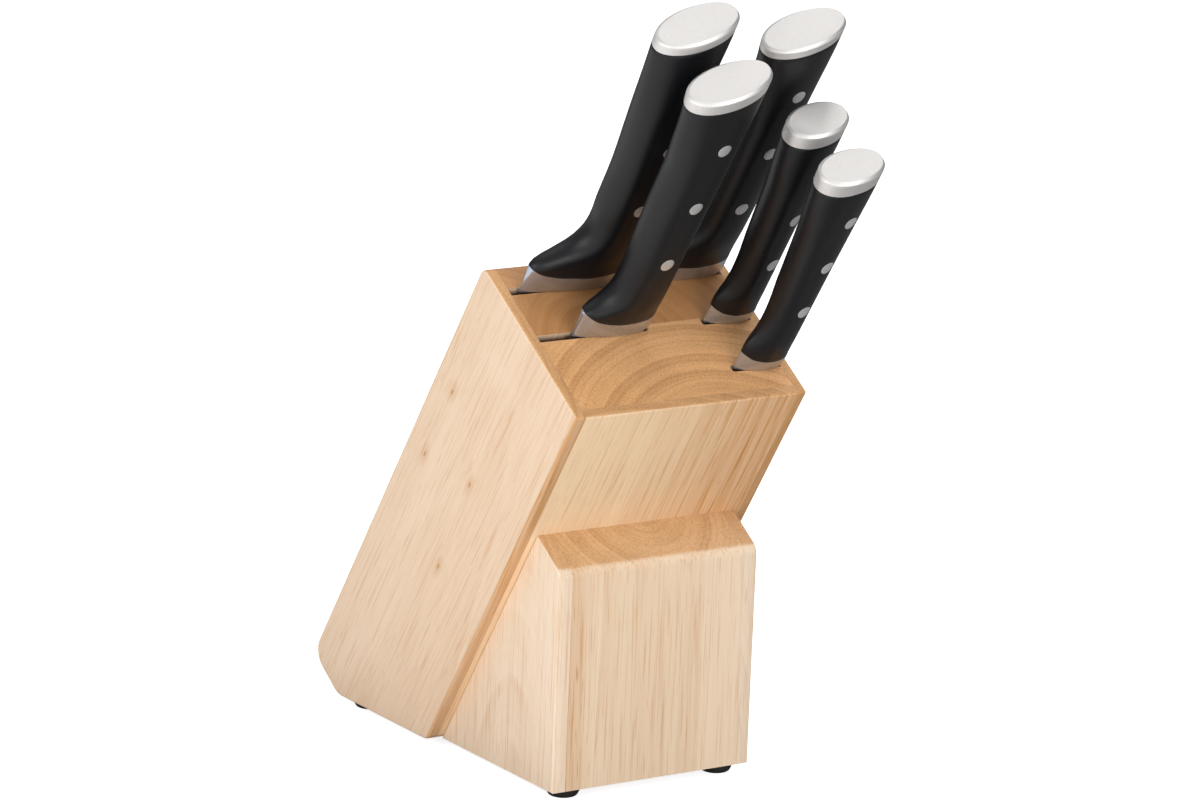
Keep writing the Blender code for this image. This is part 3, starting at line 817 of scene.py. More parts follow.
    def seat(self, piece: bpy.types.Object, matrix: Matrix, body: str, finish: str, slot: Slot,
             *nodes: str, smooth: float = 35.0) -> None:
        """Put a finished piece in its place on the frame.

        Args:
            piece: The piece, shaped in its own frame.
            matrix: From that frame to the world.
            body: The body that carries it.
            finish: The finish's name.
            slot: The record's slot; not used.
            nodes: The CAD nodes that it stands for.
            smooth: Edges sharper than this many degrees stay sharp.
        """
        self.alone(piece)
        piece.matrix_world = matrix
        bpy.ops.object.transform_apply(location=True, rotation=True, scale=True)
        bpy.ops.object.shade_smooth_by_angle(angle=math.radians(smooth))
        piece.data.materials.clear()
        piece.data.materials.append(self.finishes[finish])
        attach(piece, body)
        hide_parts(*nodes)
        self.pieces.append(piece)
        log.info("%s: %d faces on %s", piece.name, len(piece.data.polygons), body)

    def dress(self, nodes: Sequence[str], finish: str) -> None:
        """Give kept CAD nodes a finish.

        Args:
            nodes: The nodes' names.
            finish: The finish's name.
        """
        for name in nodes:
            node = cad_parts[name]
            for place in node.material_slots:
                place.material = self.finishes[finish]
            log.info("%s: kept, in %s", name, finish)


# ---------------------------------------------------------------------------------------------
# The block
# ---------------------------------------------------------------------------------------------


@dataclass
class Board:
    """One board of the leaning block, in the across-depth-along frame."""

    name: str
    finish: str
    across: tuple[float, float]
    depth: tuple[float, float]
    grooves: tuple[tuple[float, float], ...] = ()
    rim: str = ""
    slot_thickness: float = 0.0036
    slot_rounding: float = 0.0014
    softening: float = 0.0012
    overrun: float = 0.01
    clearance: float = 0.004

    def corners(self) -> tuple[tuple[float, float, float], ...]:
        """List the corners of the outline.

        Returns:
            Depth, along and radius of each corner.
        """
        tail_cut = TAIL_LENGTH / math.tan(LEAN)
        return ((BLOCK_DEPTH, FRONT_LENGTH, 0.0044), (0.0, FRONT_LENGTH, 0.0012),
                (0.0, 0.0, 0.003), (tail_cut, -TAIL_LENGTH, 0.003),
                (BLOCK_DEPTH, -TAIL_LENGTH, 0.0085))

    def build(self, bench: Bench, placing: Matrix) -> None:
        """Saw, round, groove and seat the board.

        Args:
            bench: Where it is made.
            placing: From the block's frame to the world.
        """
        low = (self.across[0], self.depth[0], -TAIL_LENGTH)
        high = (self.across[1], self.depth[1], FRONT_LENGTH)
        board = bench.cube(self.name, low, high)
        bench.saw(board, (0, 0, 0), (0, -math.sin(LEAN), -math.cos(LEAN)))
        for depth, along, radius in self.corners():
            def at_corner(edge: bmesh.types.BMEdge, depth: float = depth,
                          along: float = along) -> bool:
                """Say whether an edge is the outline's corner."""
                return all(max(abs(v.co.y - depth), abs(v.co.z - along)) < CORNER_REACH
                           for v in edge.verts)
            bench.round_edges(board, at_corner, radius, 8)
        if self.rim:
            side = self.across[0] if self.rim == "left" else self.across[1]
            bench.round_edges(board, lambda e: all(abs(v.co.x - side) < TINY for v in e.verts),
                              self.softening, 5)
        for number, (start, end) in enumerate(self.grooves):
            self.groove(bench, board, number, start, end)
        bench.seat(board, placing, "block", self.finish, Slot.WOOD, self.name)

    def groove(self, bench: Bench, board: bpy.types.Object, number: int, start: float,
               end: float) -> None:
        """Mill one knife slot into the rear face, with rounded bottom corners.

        Args:
            bench: Where it is made.
            board: The board.
            number: The slot's number.
            start: Its left end.
            end: Its right end.
        """
        back = self.depth[1]
        cutter = bench.cube(f"{self.name}_cutter_{number}",
                            (start, back - self.slot_thickness, -TAIL_LENGTH - self.overrun),
                            (end, back + self.clearance, FRONT_LENGTH + self.overrun))
        bench.round_edges(cutter, lambda e: all(v.co.y < back for v in e.verts)
                          and abs(e.verts[0].co.z - e.verts[1].co.z) > FRONT_LENGTH,
                          self.slot_rounding, 6)
        bench.cut(board, cutter)


@dataclass
class LeaningBlock:
    """The glued-up block: two cheeks, a facing and four boards."""

    cheek: float = 0.0046
    facing: float = 0.0043
    rows: tuple[float, float, float] = (0.0186, 0.0453, 0.0718)
    large_end: float = 0.0560
    rear_end: float = 0.0558
    rear_start: float = 0.0589
    small_start: float = 0.0820
    slot_overrun: float = 0.001
    glue: float = 0.00008
    hair: float = 0.000005

    def build(self, bench: Bench) -> None:
        """Make all seven boards.

        Args:
            bench: Where they are made.
        """
        gap = self.glue / 2
        left, right = self.cheek + gap, BLOCK_WIDTH - self.cheek - gap
        first, second, third = self.rows
        inner, whole = (left, right), (0.0, BLOCK_DEPTH)
        from_left, to_right = left - self.slot_overrun, right + self.slot_overrun
        boards = (
            Board("left_cheek", "left_cheek_beech", (0.0, left - self.glue), whole, rim="left"),
            Board("right_cheek", "right_cheek_beech", (right + self.glue, BLOCK_WIDTH), whole,
                  rim="right"),
            Board("front_facing", "facing_beech", inner, (0.0, self.facing - gap)),
            Board("front_slot_board", "front_board_beech", inner,
                  (self.facing + gap, first - self.hair), ((self.small_start, to_right),)),
            Board("middle_slot_board", "front_board_beech", inner,
                  (first + self.hair, second - gap),
                  ((from_left, self.large_end), (self.small_start, to_right))),
            Board("rear_slot_board", "rear_board_shaded_beech", inner, (second + gap, third - gap),
                  ((from_left, self.rear_end), (self.rear_start, to_right))),
            Board("back_board", "back_board_shaded_beech", inner, (third + gap, BLOCK_DEPTH)),
        )
        placing = block_frame()
        for board in boards:
            board.build(bench, placing)


@dataclass
class Prop:
    """The wedge under the lean: a wide core between two thin strips."""

    inset: float = 0.00735
    top_along: float = 0.1223
    front: float = -0.0841
    strip: float = 0.0065
    gap: float = 0.00004
    front_rounding: float = 0.0030
    side_rounding: float = 0.0007

    def build(self, bench: Bench) -> None:
        """Make the three upright pieces.

        Args:
            bench: Where they are made.
        """
        left, right = self.inset, BLOCK_WIDTH - self.inset
        spans = {
            "prop_left_lamella": (left, left + self.strip - self.gap, "prop_side_beech"),
            "prop_core": (left + self.strip + self.gap, right - self.strip - self.gap,
                          "prop_core_beech"),
            "prop_right_lamella": (right - self.strip + self.gap, right, "prop_side_beech"),
        }
        root = Matrix.Translation(block_frame().translation)
        for name, (start, end, finish) in spans.items():
            bench.seat(self.wedge(bench, name, start, end), root, "block", finish, Slot.WOOD,
                       name)

    def wedge(self, bench: Bench, name: str, start: float, end: float) -> bpy.types.Object:
        """Saw one piece to the lean and to the sloped top, and ease its edges.

        Args:
            bench: Where it is made.
            name: The piece's name.
            start: Its left side.
            end: Its right side.

        Returns:
            The shaped piece.
        """
        top = Vector((0, -self.top_along * math.sin(LEAN), self.top_along * math.cos(LEAN)))
        piece = bench.cube(name, (start, self.front, 0.0), (end, 0.0, top.z + 0.01))
        bench.saw(piece, (0, 0, 0), (0, math.cos(LEAN), math.sin(LEAN)))
        bench.saw(piece, top, (0, -math.sin(LEAN), math.cos(LEAN)))
        middle = top.z / 2
        bench.round_edges(piece, lambda e: all(abs(v.co.y - self.front) < TINY and v.co.z > middle
                                               for v in e.verts), self.front_rounding, 8)
        outer = start if start <= self.inset + TINY else end
        if name != "prop_core":
            bench.round_edges(piece, lambda e: all(abs(v.co.x - outer) < TINY for v in e.verts)
                              and e.calc_face_angle(0.0) > 0.3, self.side_rounding, 4)
        return piece


@dataclass
class Feet:
    """Four rubber cups, each round a sunk screw."""

    radius: float = 0.0068
    tread: float = 0.0057
    recess: float = 0.0034
    recess_depth: float = 0.0011
    taper: float = 0.0022
    rounding: float = 0.0010
    near: float = 0.0002

    def build(self, bench: Bench) -> None:
        """Make the feet and dress their screws.

        Args:
            bench: Where they are made.
        """
        names = [f"{end}_{side}_foot" for end in ("front", "rear") for side in ("left", "right")]
        for name in names:
            self.cup(bench, name)
        bench.dress([name + "_screw" for name in names], "blade_steel")

    def cup(self, bench: Bench, name: str) -> None:
        """Turn one foot: tapered, rounded and hollowed from below.

        Args:
            bench: Where it is made.
            name: The foot's name.
        """
        low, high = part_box(name)
        middle = ((low + high) / 2).xy
        foot = bench.drum(name, self.radius, low.z, high.z, middle)
        bench.select(foot, "FACE", lambda f: f.normal.z < -0.9)
        bpy.ops.mesh.inset(thickness=self.radius - self.tread, depth=0.0)
        bpy.ops.mesh.inset(thickness=self.tread - self.recess, depth=0.0)
        bpy.ops.mesh.inset(thickness=0.0, depth=-self.recess_depth)
        bench.leave()
        for vertex in foot.data.vertices:
            if (vertex.co.xy - middle).length > self.radius * 0.99 and vertex.co.z < low.z + TINY:
                vertex.co.z = low.z + self.taper
        bench.round_edges(foot, lambda e: all(
            abs((v.co.xy - middle).length - self.tread) < self.near for v in e.verts),
            self.rounding, 5)
        bench.seat(foot, Matrix(), "block", "foot_rubber", Slot.RUBBER, name)


# ---------------------------------------------------------------------------------------------
# The knives
# ---------------------------------------------------------------------------------------------


@dataclass
class Grip:
    """The outline of a grip: distances from the spine line by height above the block."""

    edge: Table
    spine: Table
    half_thickness: Table
    round_width: Table
    bottom: float
    edge_rise: float
    top: float
    cap_slope: float
    cap_reach: float
    toe_edge: float
    tang: tuple[float, float]
    rivets: tuple[float, float, float]
    rivet_x: tuple[float, float, float]


LARGE_SPINE: Table = ((-0.0018, -0.0002), (0.0, 0.0002), (0.003, 0.0008), (0.010, 0.0003),
                      (0.030, -0.0003), (0.050, -0.0002), (0.080, 0.0007), (0.104, 0.0012),
                      (0.127, 0.0020), (0.140, 0.0018))
SMALL_SPINE: Table = ((-0.0018, -0.0002), (0.0, 0.0002), (0.003, 0.0008), (0.010, 0.0003),
                      (0.027, -0.0003), (0.057, 0.0), (0.080, 0.0007), (0.100, 0.0013),
                      (0.112, 0.0012))
LARGE_HALF: Table = ((0.0105, 0.0068), (0.020, 0.0078), (0.040, 0.0088), (0.080, 0.0093),
                     (0.104, 0.0096), (0.140, 0.0101))
SMALL_HALF: Table = ((0.0085, 0.0056), (0.018, 0.0066), (0.040, 0.0073), (0.080, 0.0082),
                     (0.112, 0.0094))
LARGE_GRIP: Table = ((0.066, 0.0250), (0.090, 0.0258), (0.104, 0.0277), (0.118, 0.0297),
                     (0.127, 0.0315), (0.140, 0.0330))
SANTOKU_TOE = 1.052
TOE: Table = ((0.0132, 0.0463), (0.0150, 0.0450), (0.0171, 0.0416), (0.0195, 0.0372),
              (0.0215, 0.0334), (0.0235, 0.0305), (0.0255, 0.0284), (0.0280, 0.0267),
              (0.0315, 0.0255), (0.036, 0.0251))
CHEF_EDGE: Table = (*TOE, (0.042, 0.0255), (0.062, 0.0261), (0.083, 0.0284), (0.103, 0.0310),
                    (0.118, 0.0331), (0.127, 0.0341), (0.140, 0.0342))
SANTOKU_EDGE: Table = (*((SANTOKU_TOE * height, width) for height, width in TOE),
                       (0.048, 0.0249), *LARGE_GRIP)
BREAD_EDGE: Table = ((0.0138, 0.0350), (0.0160, 0.0316), (0.0190, 0.0280), (0.0220, 0.0258),
                     (0.026, 0.0244), (0.031, 0.0238), (0.037, 0.0237), (0.044, 0.0240),
                     *LARGE_GRIP)
SMALL_EDGE: Table = ((0.0080, 0.0222), (0.0136, 0.0219), (0.0197, 0.0195), (0.0290, 0.0182),
                     (0.040, 0.0185), (0.057, 0.0198), (0.074, 0.0215), (0.087, 0.0236),
                     (0.099, 0.0252), (0.112, 0.0264))
WIDE_ROUND: Table = ((0.0150, 0.0060), (0.0176, 0.0090), (0.0200, 0.0100), (0.026, 0.0085),
                     (0.036, 0.0075), (0.090, 0.0085), (0.118, 0.0150), (0.132, 0.0170))
NARROW_ROUND: Table = ((0.010, 0.0060), (0.036, 0.0075), (0.090, 0.0085), (0.118, 0.0150),
                       (0.132, 0.0170))
SMALL_ROUND: Table = ((0.008, 0.0060), (0.070, 0.0068), (0.095, 0.0105), (0.108, 0.0130))


def large_grip(edge: Table, rounding: Table) -> Grip:
    """Describe the grip of a large knife.

    Args:
        edge: Its edge side.
        rounding: How far its rounding reaches in from that side.

    Returns:
        The grip.
    """
    return Grip(edge, LARGE_SPINE, LARGE_HALF, rounding, bottom=0.0105, edge_rise=0.0035,
                top=0.1350, cap_slope=0.38, cap_reach=0.0165, toe_edge=-0.020,
                tang=(-0.0195, -0.0055), rivets=(0.0449, 0.0756, 0.1067),
                rivet_x=(-0.0121, -0.0113, -0.0109))


def small_grip() -> Grip:
    """Describe the grip of a small knife.

    Returns:
        The grip.
    """
    return Grip(SMALL_EDGE, SMALL_SPINE, SMALL_HALF, SMALL_ROUND, bottom=0.0075,
                edge_rise=0.0022, top=0.1112, cap_slope=0.28, cap_reach=0.0128,
                toe_edge=-0.012, tang=(-0.0135, -0.0045), rivets=(0.0367, 0.0617, 0.0867),
                rivet_x=(-0.0071, -0.0069, -0.0067))


class BladeShape(Enum):
    """How a blade runs from heel to tip: belly, share of width below the tip, spine bend."""

    CHEF = (2.6, 0.10, 3.0)
    BREAD = (14.0, 0.45, 9.0)
    SANTOKU = (4.2, 0.72, 6.0)
    UTILITY = (2.6, 0.14, 3.0)
    PARING = (2.4, 0.16, 3.0)


@dataclass
class Knife:
    """One knife, standing in its slot."""

    name: str
    spine_x: float
    depth: float
    width: float
    length: float
    shape: BladeShape
    grip: Grip
    stretch: float
    drift: float = 0.0
    rivet_lift: float = 0.0
    cap_band: float = 0.005
    blade_top: float = -0.0001
    bolster_foot: float = 0.0003
    bolster_half: tuple[float, float] = (0.0024, 0.0036)
    blade_half: float = 0.0010
    grind: float = 0.72
    hone: float = 0.0016
    spine_rounding: float = 0.0006
    toe_thinning: float = 0.48
    toe_fades: tuple[float, float] = (0.044, 0.020)
    oval: float = 2.1
    joint: float = 0.00006
    rim: float = 0.00022
    grip_bands: int = 56
    bevel: float = 0.0013
    rivet_radius: float = 0.0031
    points: int = 72
    scallop: float = 0.0075
    scallop_depth: float = 0.0012
    cap_top: float = field(init=False)

    def __post_init__(self) -> None:
        """Work out where the cap's flat lies."""
        self.cap_top = self.grip.top * self.stretch

    def build(self, bench: Bench) -> None:
        """Make the seven pieces of the knife.

        Args:
            bench: Where they are made.
        """
        placing = block_frame() @ Matrix.Translation((self.spine_x, self.depth, FRONT_LENGTH))
        pieces = (
            (self.blade(bench), "blade", "blade_steel", Slot.STEEL, 50.0),
            (self.bolster(bench), "bolster", "bolster_steel", Slot.STEEL, 50.0),
            (self.handle(bench), "handle", "handle_plastic", Slot.PLASTIC, 60.0),
            (self.end_cap(bench), "end_cap", "cap_steel", Slot.STEEL, 28.0),
        )
        for piece, part, finish, slot, smooth in pieces:
            bench.seat(piece, placing, self.name, finish, slot, f"{self.name}_{part}",
                       smooth=smooth)
        for number, (height, x) in enumerate(zip(self.grip.rivets, self.grip.rivet_x), 1):
            level = height * self.stretch + self.rivet_lift
            node = f"{self.name}_rivet_{number}"
            bench.seat(self.rivet(bench, node, x, level), placing, self.name, "rivet_steel",
                       Slot.STEEL, node, smooth=40.0)

    # -- the grip's skin ------------------------------------------------------------------

    def sides(self, height: float) -> tuple[float, float]:
        """Find the grip's two sides.

        Args:
            height: How far above the block.

        Returns:
            X of its edge side and of its spine side.
        """
        at = height / self.stretch
        drift = self.drift * height / self.cap_top
        return -smooth_value(self.grip.edge, at), smooth_value(self.grip.spine, at) + drift

    def half(self, height: float) -> float:
        """Return half of the grip's thickness at a height."""
        return smooth_value(self.grip.half_thickness, height / self.stretch)

    def fullness(self, x: float, height: float, shrink: float = 0.0) -> float:
        """Find how full the grip is at a point.

        Args:
            x: The point's distance from the spine line.
            height: How far above the block.
            shrink: How far the skin is drawn in.

        Returns:
            The skin's depth as a share of the half thickness.
        """
        edge, spine = self.sides(height)
        edge, spine = edge + shrink, spine - shrink
        middle, reach = (edge + spine) / 2, (spine - edge) / 2
        width = min(smooth_value(self.grip.round_width, height / self.stretch), reach)
        full = 1.0
        if x < edge + width:
            full = math.sqrt(max(0.0, 1 - ((edge + width - x) / width) ** 2))
        if x > middle:
            past = min(1.0, (x - middle) / reach)
            full = min(full, max(0.0, 1 - past ** self.oval) ** (1 / self.oval))
        return full * self.toe_taper(x, height)

    def toe_taper(self, x: float, height: float) -> float:
        """Find how much thinner the grip is out on the toe of a wide blade.

        Args:
            x: The point's distance from the spine line.
            height: How far above the block.

        Returns:
            The share of the thickness that is left.
        """
        if x >= self.grip.toe_edge:
            return 1.0
        reach = min(1.0, (self.grip.toe_edge - x) / (self.width + self.grip.toe_edge))
        fading = min(1.0, max(0.0, (self.toe_fades[0] - height) / self.toe_fades[1]))
        return 1 - self.toe_thinning * reach * fading

    def point(self, turn: float, height: Callable[[float], float], scale: float = 1.0,
              shrink: float = 0.0) -> Vector:
        """Return a point of the skin.

        Args:
            turn: Place round the grip, 0 to 1, starting at the edge side.
            height: Gives the height from the place u, -1 at the edge side to 1 at the spine.
            scale: Thickness as a share of the grip's.
            shrink: How far the skin is drawn in.

        Returns:
            The point in the knife's frame.
        """
        u = self.across(turn)
        level = height(u)
        edge, spine = self.sides(level)
        edge, spine = edge + shrink, spine - shrink
        x = (edge + spine) / 2 + u * (spine - edge) / 2
        depth = (self.half(level) - shrink) * scale * self.fullness(x, level, shrink)
        return Vector((x, self.face(turn) * depth, level))

    @staticmethod
    def across(turn: float) -> float:
        """Return the place u of a turn, -1 at the edge side to 1 at the spine."""
        return -math.cos(2 * math.pi * turn)

    @staticmethod
    def face(turn: float) -> float:
        """Return -1 or 1 for the knife's two faces and 0 on its two edges."""
        return 0.0 if turn in (0.0, 0.5) else math.copysign(1.0, math.sin(2 * math.pi * turn))

    def grip_line(self, u: float) -> float:
        """Return the height of the line between bolster and grip."""
        past = max(0.0, (-u - 0.3) / 0.7)
        return self.grip.bottom + self.grip.edge_rise * past ** 2

    def cap_plane(self, u: float, below: float) -> float:
        """Return the height of a plane parallel to the cap's slanted flat."""
        return self.cap_top + self.grip.cap_slope * self.grip.cap_reach * u - below

    # -- pieces ---------------------------------------------------------------------------

    def handle(self, bench: Bench) -> bpy.types.Object:
        """Form the moulded grip, with its two end rims eased.

        Args:
            bench: Where it is made.

        Returns:
            The grip.
        """
        gap, rim = self.joint, self.rim
        shares = [band / self.grip_bands for band in range(self.grip_bands + 1)]
        lifts = [rim, *(0.0 for _ in shares[2:]), -rim]
        rows = [(0.0, 0.0012, 0.0), (0.0, rim, 0.0), (0.0, gap, 0.00008),
                *((share, 0.0, lift) for share, lift in zip(shares, lifts)),
                (1.0, gap, -0.00008), (1.0, rim, 0.0), (1.0, 0.0012, 0.0)]

        def place(turn: float, row: int) -> Vector:
            """Place one point of the grip.

            Args:
                turn: How far round its row, 0 to 1.
                row: The row's number.

            Returns:
                The point.
            """
            share, shrink, lift = rows[row]

            def height(u: float) -> float:
                """Return the height of this row at place u."""
                low, high = self.grip_line(u) + gap, self.cap_plane(u, self.cap_band + gap)
                return low + (high - low) * share + lift
            return self.point(turn, height, shrink=shrink)
        return bench.skin(f"{self.name}_handle", self.points, len(rows), place)

    def end_cap(self, bench: Bench) -> bpy.types.Object:
        """Form the steel cap: band, eased bevel and slanted flat.

        Args:
            bench: Where it is made.

        Returns:
            The cap.
        """
        bevel, band = self.bevel, self.cap_band
        rows = [(band - self.joint, 0.0010), (band - self.joint, 0.00012), (band - 0.0002, 0.0),
                (band * 0.66, 0.0), (band * 0.33 + bevel * 0.5, 0.0), (bevel * 1.18, 0.0),
                (bevel * 0.98, 0.00004)]
        rows += [(bevel * below, bevel * shrink) for below, shrink in (
            (0.80, 0.14), (0.55, 0.38), (0.30, 0.64), (0.12, 0.84), (0.03, 0.94), (0.0, 1.06),
            (0.0, 1.5))]

        def place(turn: float, row: int) -> Vector:
            """Place one point of the cap."""
            below, shrink = rows[row]
            return self.point(turn, lambda u: self.cap_plane(u, below), shrink=shrink)
        return bench.skin(f"{self.name}_end_cap", self.points, len(rows), place)

    def bolster(self, bench: Bench) -> bpy.types.Object:
        """Form the steel wedge between blade and grip.

        Args:
            bench: Where it is made.

        Returns:
            The bolster.
        """
        shares = (0.0, 0.06, 0.13, 0.20, 0.28, 0.37, 0.46, 0.55, 0.64, 0.73, 0.82, 0.91, 0.97, 1.0)
        at_edge, at_spine = self.bolster_half

        def place(turn: float, row: int) -> Vector:
            """Place one point of the bolster.

            Args:
                turn: How far round its row, 0 to 1.
                row: The row's number.

            Returns:
                The point.
            """
            share = shares[row]
            foot = at_edge + (at_spine - at_edge) * (self.across(turn) + 1) / 2
            foot /= self.half(0.0)
            return self.point(turn, lambda u: self.bolster_foot + share * (
                self.grip_line(u) - 0.00004 - self.bolster_foot), foot + (1 - foot) * share ** 0.9)
        return bench.skin(f"{self.name}_bolster", self.points, len(shares), place)

    def rivet(self, bench: Bench, name: str, x: float, level: float) -> bpy.types.Object:
        """Form a rivet whose two faces follow the grip's skin.

        Args:
            bench: Where it is made.
            name: The rivet's name.
            x: Its distance from the spine line.
            level: Its height above the block.

        Returns:
            The rivet.
        """
        rings = ((0.35, 0.00007), (0.70, 0.00006), (0.93, 0.00004), (1.0, -0.00007))
        rows = [(-1, *ring) for ring in rings] + [(1, *ring) for ring in reversed(rings)]

        def place(turn: float, row: int) -> Vector:
            """Place one point of the rivet.

            Args:
                turn: How far round its row, 0 to 1.
                row: The row's number.

            Returns:
                The point.
            """
            side, share, proud = rows[row]
            reach = self.rivet_radius * share
            px = x + reach * math.cos(2 * math.pi * turn)
            pz = level + reach * math.sin(2 * math.pi * turn)
            depth = self.half(pz) * self.fullness(px, pz)
            return Vector((px, side * (depth + proud), pz))
        return bench.skin(name, 48, len(rows), place)

    def blade_sides(self, share: float) -> tuple[float, float]:
        """Find the blade's two sides.

        Args:
            share: How far down the blade, 0 at its heel and 1 at its tip.

        Returns:
            X of its cutting edge and of its spine.
        """
        belly, droop, bend = self.shape.value
        tip = -self.width * droop
        edge = -self.width + (self.width + tip) * share ** belly
        if self.shape is BladeShape.BREAD and share < 0.985:
            wave = abs(math.sin(math.pi * share * self.length / self.scallop))
            edge += self.scallop_depth * (1 - (1 - wave) ** 1.5)
        return edge, tip * share ** bend

    def blade(self, bench: Bench) -> bpy.types.Object:
        """Grind the blade to a wedge and leave its tang inside the grip.

        Args:
            bench: Where it is made.

        Returns:
            The blade.
        """
        count = 216 if self.shape is BladeShape.BREAD else 60
        shares = [1 - (1 - i / count) ** 1.25 if i / count > 0.5 else i / count * 1.159
                  for i in range(count + 1)]
        shares = sorted({min(1.0, round(share, 6)) for share in shares}, reverse=True)
        tang_end = self.cap_top - self.cap_band - 0.008
        levels = [(self.blade_top - self.length * share, *self.blade_sides(share))
                  for share in shares]
        levels += [(self.blade_top + 0.0002, *self.grip.tang), (tang_end, *self.grip.tang)]

        def place(turn: float, row: int) -> Vector:
            """Place one point of the blade.

            Args:
                turn: How far round its row, 0 to 1.
                row: The row's number.

            Returns:
                The point.
            """
            level, edge, spine = levels[row]
            u = self.across(turn)
            x = (edge + spine) / 2 + u * (spine - edge) / 2
            if row >= len(levels) - 2:
                half = self.blade_half * min(1.0, 6 * (1 - u * u))
            else:
                wedge = min(1.0, (x - edge) / (self.width * self.grind))
                hone = min(1.0, (x - edge) / self.hone)
                past = max(0.0, (x - spine) / self.spine_rounding + 1)
                half = self.blade_half * (0.10 * hone + 0.90 * wedge)
                half *= math.sqrt(max(0.0, 1 - past ** 2))
            return Vector((x, self.face(turn) * half, level))
        return bench.skin(f"{self.name}_blade", 48, len(levels), place)


def knives() -> tuple[Knife, ...]:
    """Describe the five knives, rear row first.

    Returns:
        The knives.
    """
    return (
        Knife("chef_knife", 0.0548, 0.0700, 0.0455, 0.200, BladeShape.CHEF,
              large_grip(CHEF_EDGE, WIDE_ROUND), stretch=1.045, drift=-0.003,
              rivet_lift=0.0018, cap_band=0.0052),
        Knife("bread_knife", 0.0550, 0.0435, 0.0372, 0.200, BladeShape.BREAD,
              large_grip(BREAD_EDGE, NARROW_ROUND), stretch=1.0, cap_band=0.0060),
        Knife("santoku_knife", 0.1050, 0.0700, 0.0455, 0.180, BladeShape.SANTOKU,
              large_grip(SANTOKU_EDGE, WIDE_ROUND), stretch=0.993, cap_band=0.0046),
        Knife("utility_knife", 0.1050, 0.0435, 0.0216, 0.110, BladeShape.UTILITY,
              small_grip(), stretch=0.997, drift=-0.0018, cap_band=0.0070),
        Knife("paring_knife", 0.1052, 0.0168, 0.0212, 0.090, BladeShape.PARING,
              small_grip(), stretch=0.996, cap_band=0.0072),
    )


# ---------------------------------------------------------------------------------------------
# The studio
# ---------------------------------------------------------------------------------------------


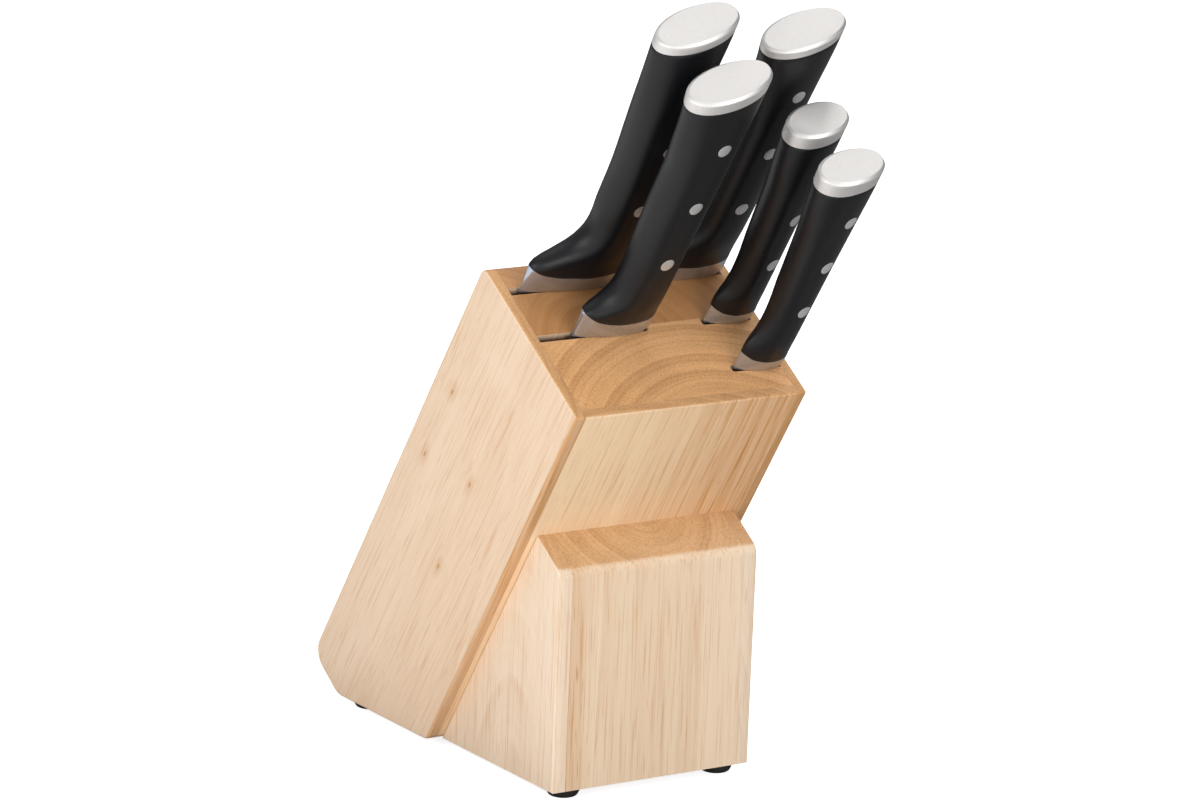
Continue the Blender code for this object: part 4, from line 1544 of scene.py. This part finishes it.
@dataclass
class Studio:
    """A pale floor, soft lights and the camera."""

    azimuth: float = -33.589
    elevation: float = 13.481
    roll: float = 2.223
    lens: float = 161.8
    eye: tuple[float, float, float] = (-1.120309, -1.806115, 0.655999)
    left_bounce: float = 0.86
    right_bounce: float = 0.32
    shown: float = 0.93
    floor_glow: float = 0.80
    mirrored_glow: float = 0.30
    right_sky: float = 0.14
    left_sky: float = 0.48

    def build(self) -> None:
        """Set up the floor, the sky, the lights and the camera."""
        bpy.context.scene.view_settings.view_transform = "Standard"
        self.floor()
        self.sky()
        self.light("key", (-1.7, -0.6, 0.72), (0.0, 0.0, 0.12), 1.3, 15.5)
        self.light("fill", (-0.3, -2.4, 0.38), (0.0, 0.0, 0.12), 1.7, 37.5)
        self.light("top", (0.7, 0.2, 2.2), (0.0, 0.0, 0.15), 3.4, 38.0)
        self.camera()

    def floor(self) -> None:
        """Lay the floor, white to the camera, with painted light: brighter on the left in what it
        bounces and glowing on the left in reflections.
        """
        bpy.ops.object.select_all(action="DESELECT")
        bpy.ops.mesh.primitive_grid_add(x_subdivisions=4, y_subdivisions=4, size=40.0)
        floor = bpy.context.object
        floor.name = "floor"
        graph = Graph("pale_floor")
        path = graph.node("ShaderNodeLightPath", {}, {}).outputs
        seen, mirrored = (Value(graph, path[f"Is {ray} Ray"]) for ray in ("Camera", "Glossy"))
        # Painted light: the left of the floor bounces more light and glows in reflections,
        # standing in for the key light's pool.
        left = graph.part(graph.place(), "X").fade(-0.02, -0.16)
        bounce = graph.mix(left, (self.right_bounce,) * 3, (self.left_bounce,) * 3)
        glow = seen * self.floor_glow + mirrored * left * self.mirrored_glow
        graph.finish(Base_Color=graph.mix(seen, bounce, (self.shown,) * 3), Roughness=0.9,
                     Emission_Color=(1.0, 1.0, 1.0, 1.0), Emission_Strength=glow)
        floor.data.materials.append(graph.material)

    def sky(self) -> None:
        """Light the studio in white, brighter from the left."""
        world = bpy.data.worlds.new("studio")
        world.use_nodes = True
        tree = world.node_tree
        path, aim, split, glow, strength = (tree.nodes.new("ShaderNode" + kind) for kind in (
            "LightPath", "TexCoord", "SeparateXYZ", "MapRange", "MapRange"))
        for key, value in {"From Min": 0.8, "From Max": -0.9, "To Min": self.right_sky,
                           "To Max": self.left_sky}.items():
            glow.inputs[key].default_value = value
        background = tree.nodes["Background"].inputs
        for start, end in ((aim.outputs["Generated"], split.inputs[0]),
                           (split.outputs["X"], glow.inputs["Value"]),
                           (glow.outputs[0], strength.inputs["To Min"]),
                           (path.outputs["Is Camera Ray"], strength.inputs["Value"]),
                           (strength.outputs[0], background["Strength"])):
            tree.links.new(start, end)
        background["Color"].default_value = (1.0, 1.0, 1.0, 1.0)
        bpy.context.scene.world = world

    @staticmethod
    def light(name: str, place: Sequence[float], target: Sequence[float], size: float,
              power: float) -> None:
        """Hang one square soft light.

        Args:
            name: The light's name.
            place: Where it hangs.
            target: What it faces.
            size: The length of its side.
            power: Its power in watts.
        """
        lamp = bpy.data.lights.new(name, "AREA")
        lamp.size, lamp.energy = size, power
        holder = bpy.data.objects.new(name, lamp)
        holder.location = place
        away = Vector(target) - Vector(place)
        holder.rotation_euler = away.to_track_quat("-Z", "Y").to_euler()
        holder.visible_camera = False
        bpy.context.scene.collection.objects.link(holder)

    def camera(self) -> None:
        """Stand the camera at its distant place, slightly rolled."""
        az, el, roll = (math.radians(a) for a in (self.azimuth, self.elevation, self.roll))
        back = Vector((math.sin(az) * math.cos(el), -math.cos(az) * math.cos(el), math.sin(el)))
        right = Vector((0, 0, 1)).cross(back).normalized()
        up = back.cross(right)
        across = math.cos(roll) * right + math.sin(roll) * up
        upward = -math.sin(roll) * right + math.cos(roll) * up
        turn = Matrix((across, upward, back)).transposed()
        data = bpy.data.cameras.new("camera")
        data.lens, data.sensor_width, data.clip_end = self.lens, 36.0, 60.0
        camera = bpy.data.objects.new("camera", data)
        place = Vector(self.eye) + block_frame().translation
        camera.matrix_world = Matrix.Translation(place) @ turn.to_4x4()
        bpy.context.scene.collection.objects.link(camera)
        bpy.context.scene.camera = camera


def main() -> None:
    """Build everything and report it."""
    logging.basicConfig(level=logging.INFO, format="%(name)s: %(message)s")
    bench = Bench(Finishes())
    LeaningBlock().build(bench)
    Prop().build(bench)
    Feet().build(bench)
    bench.dress(("dowel_1", "dowel_2"), "prop_core_beech")
    for knife in knives():
        knife.build(bench)
    Studio().build()
    log.info("%d pieces made", len(bench.pieces))


if __name__ == "__main__":
    main()
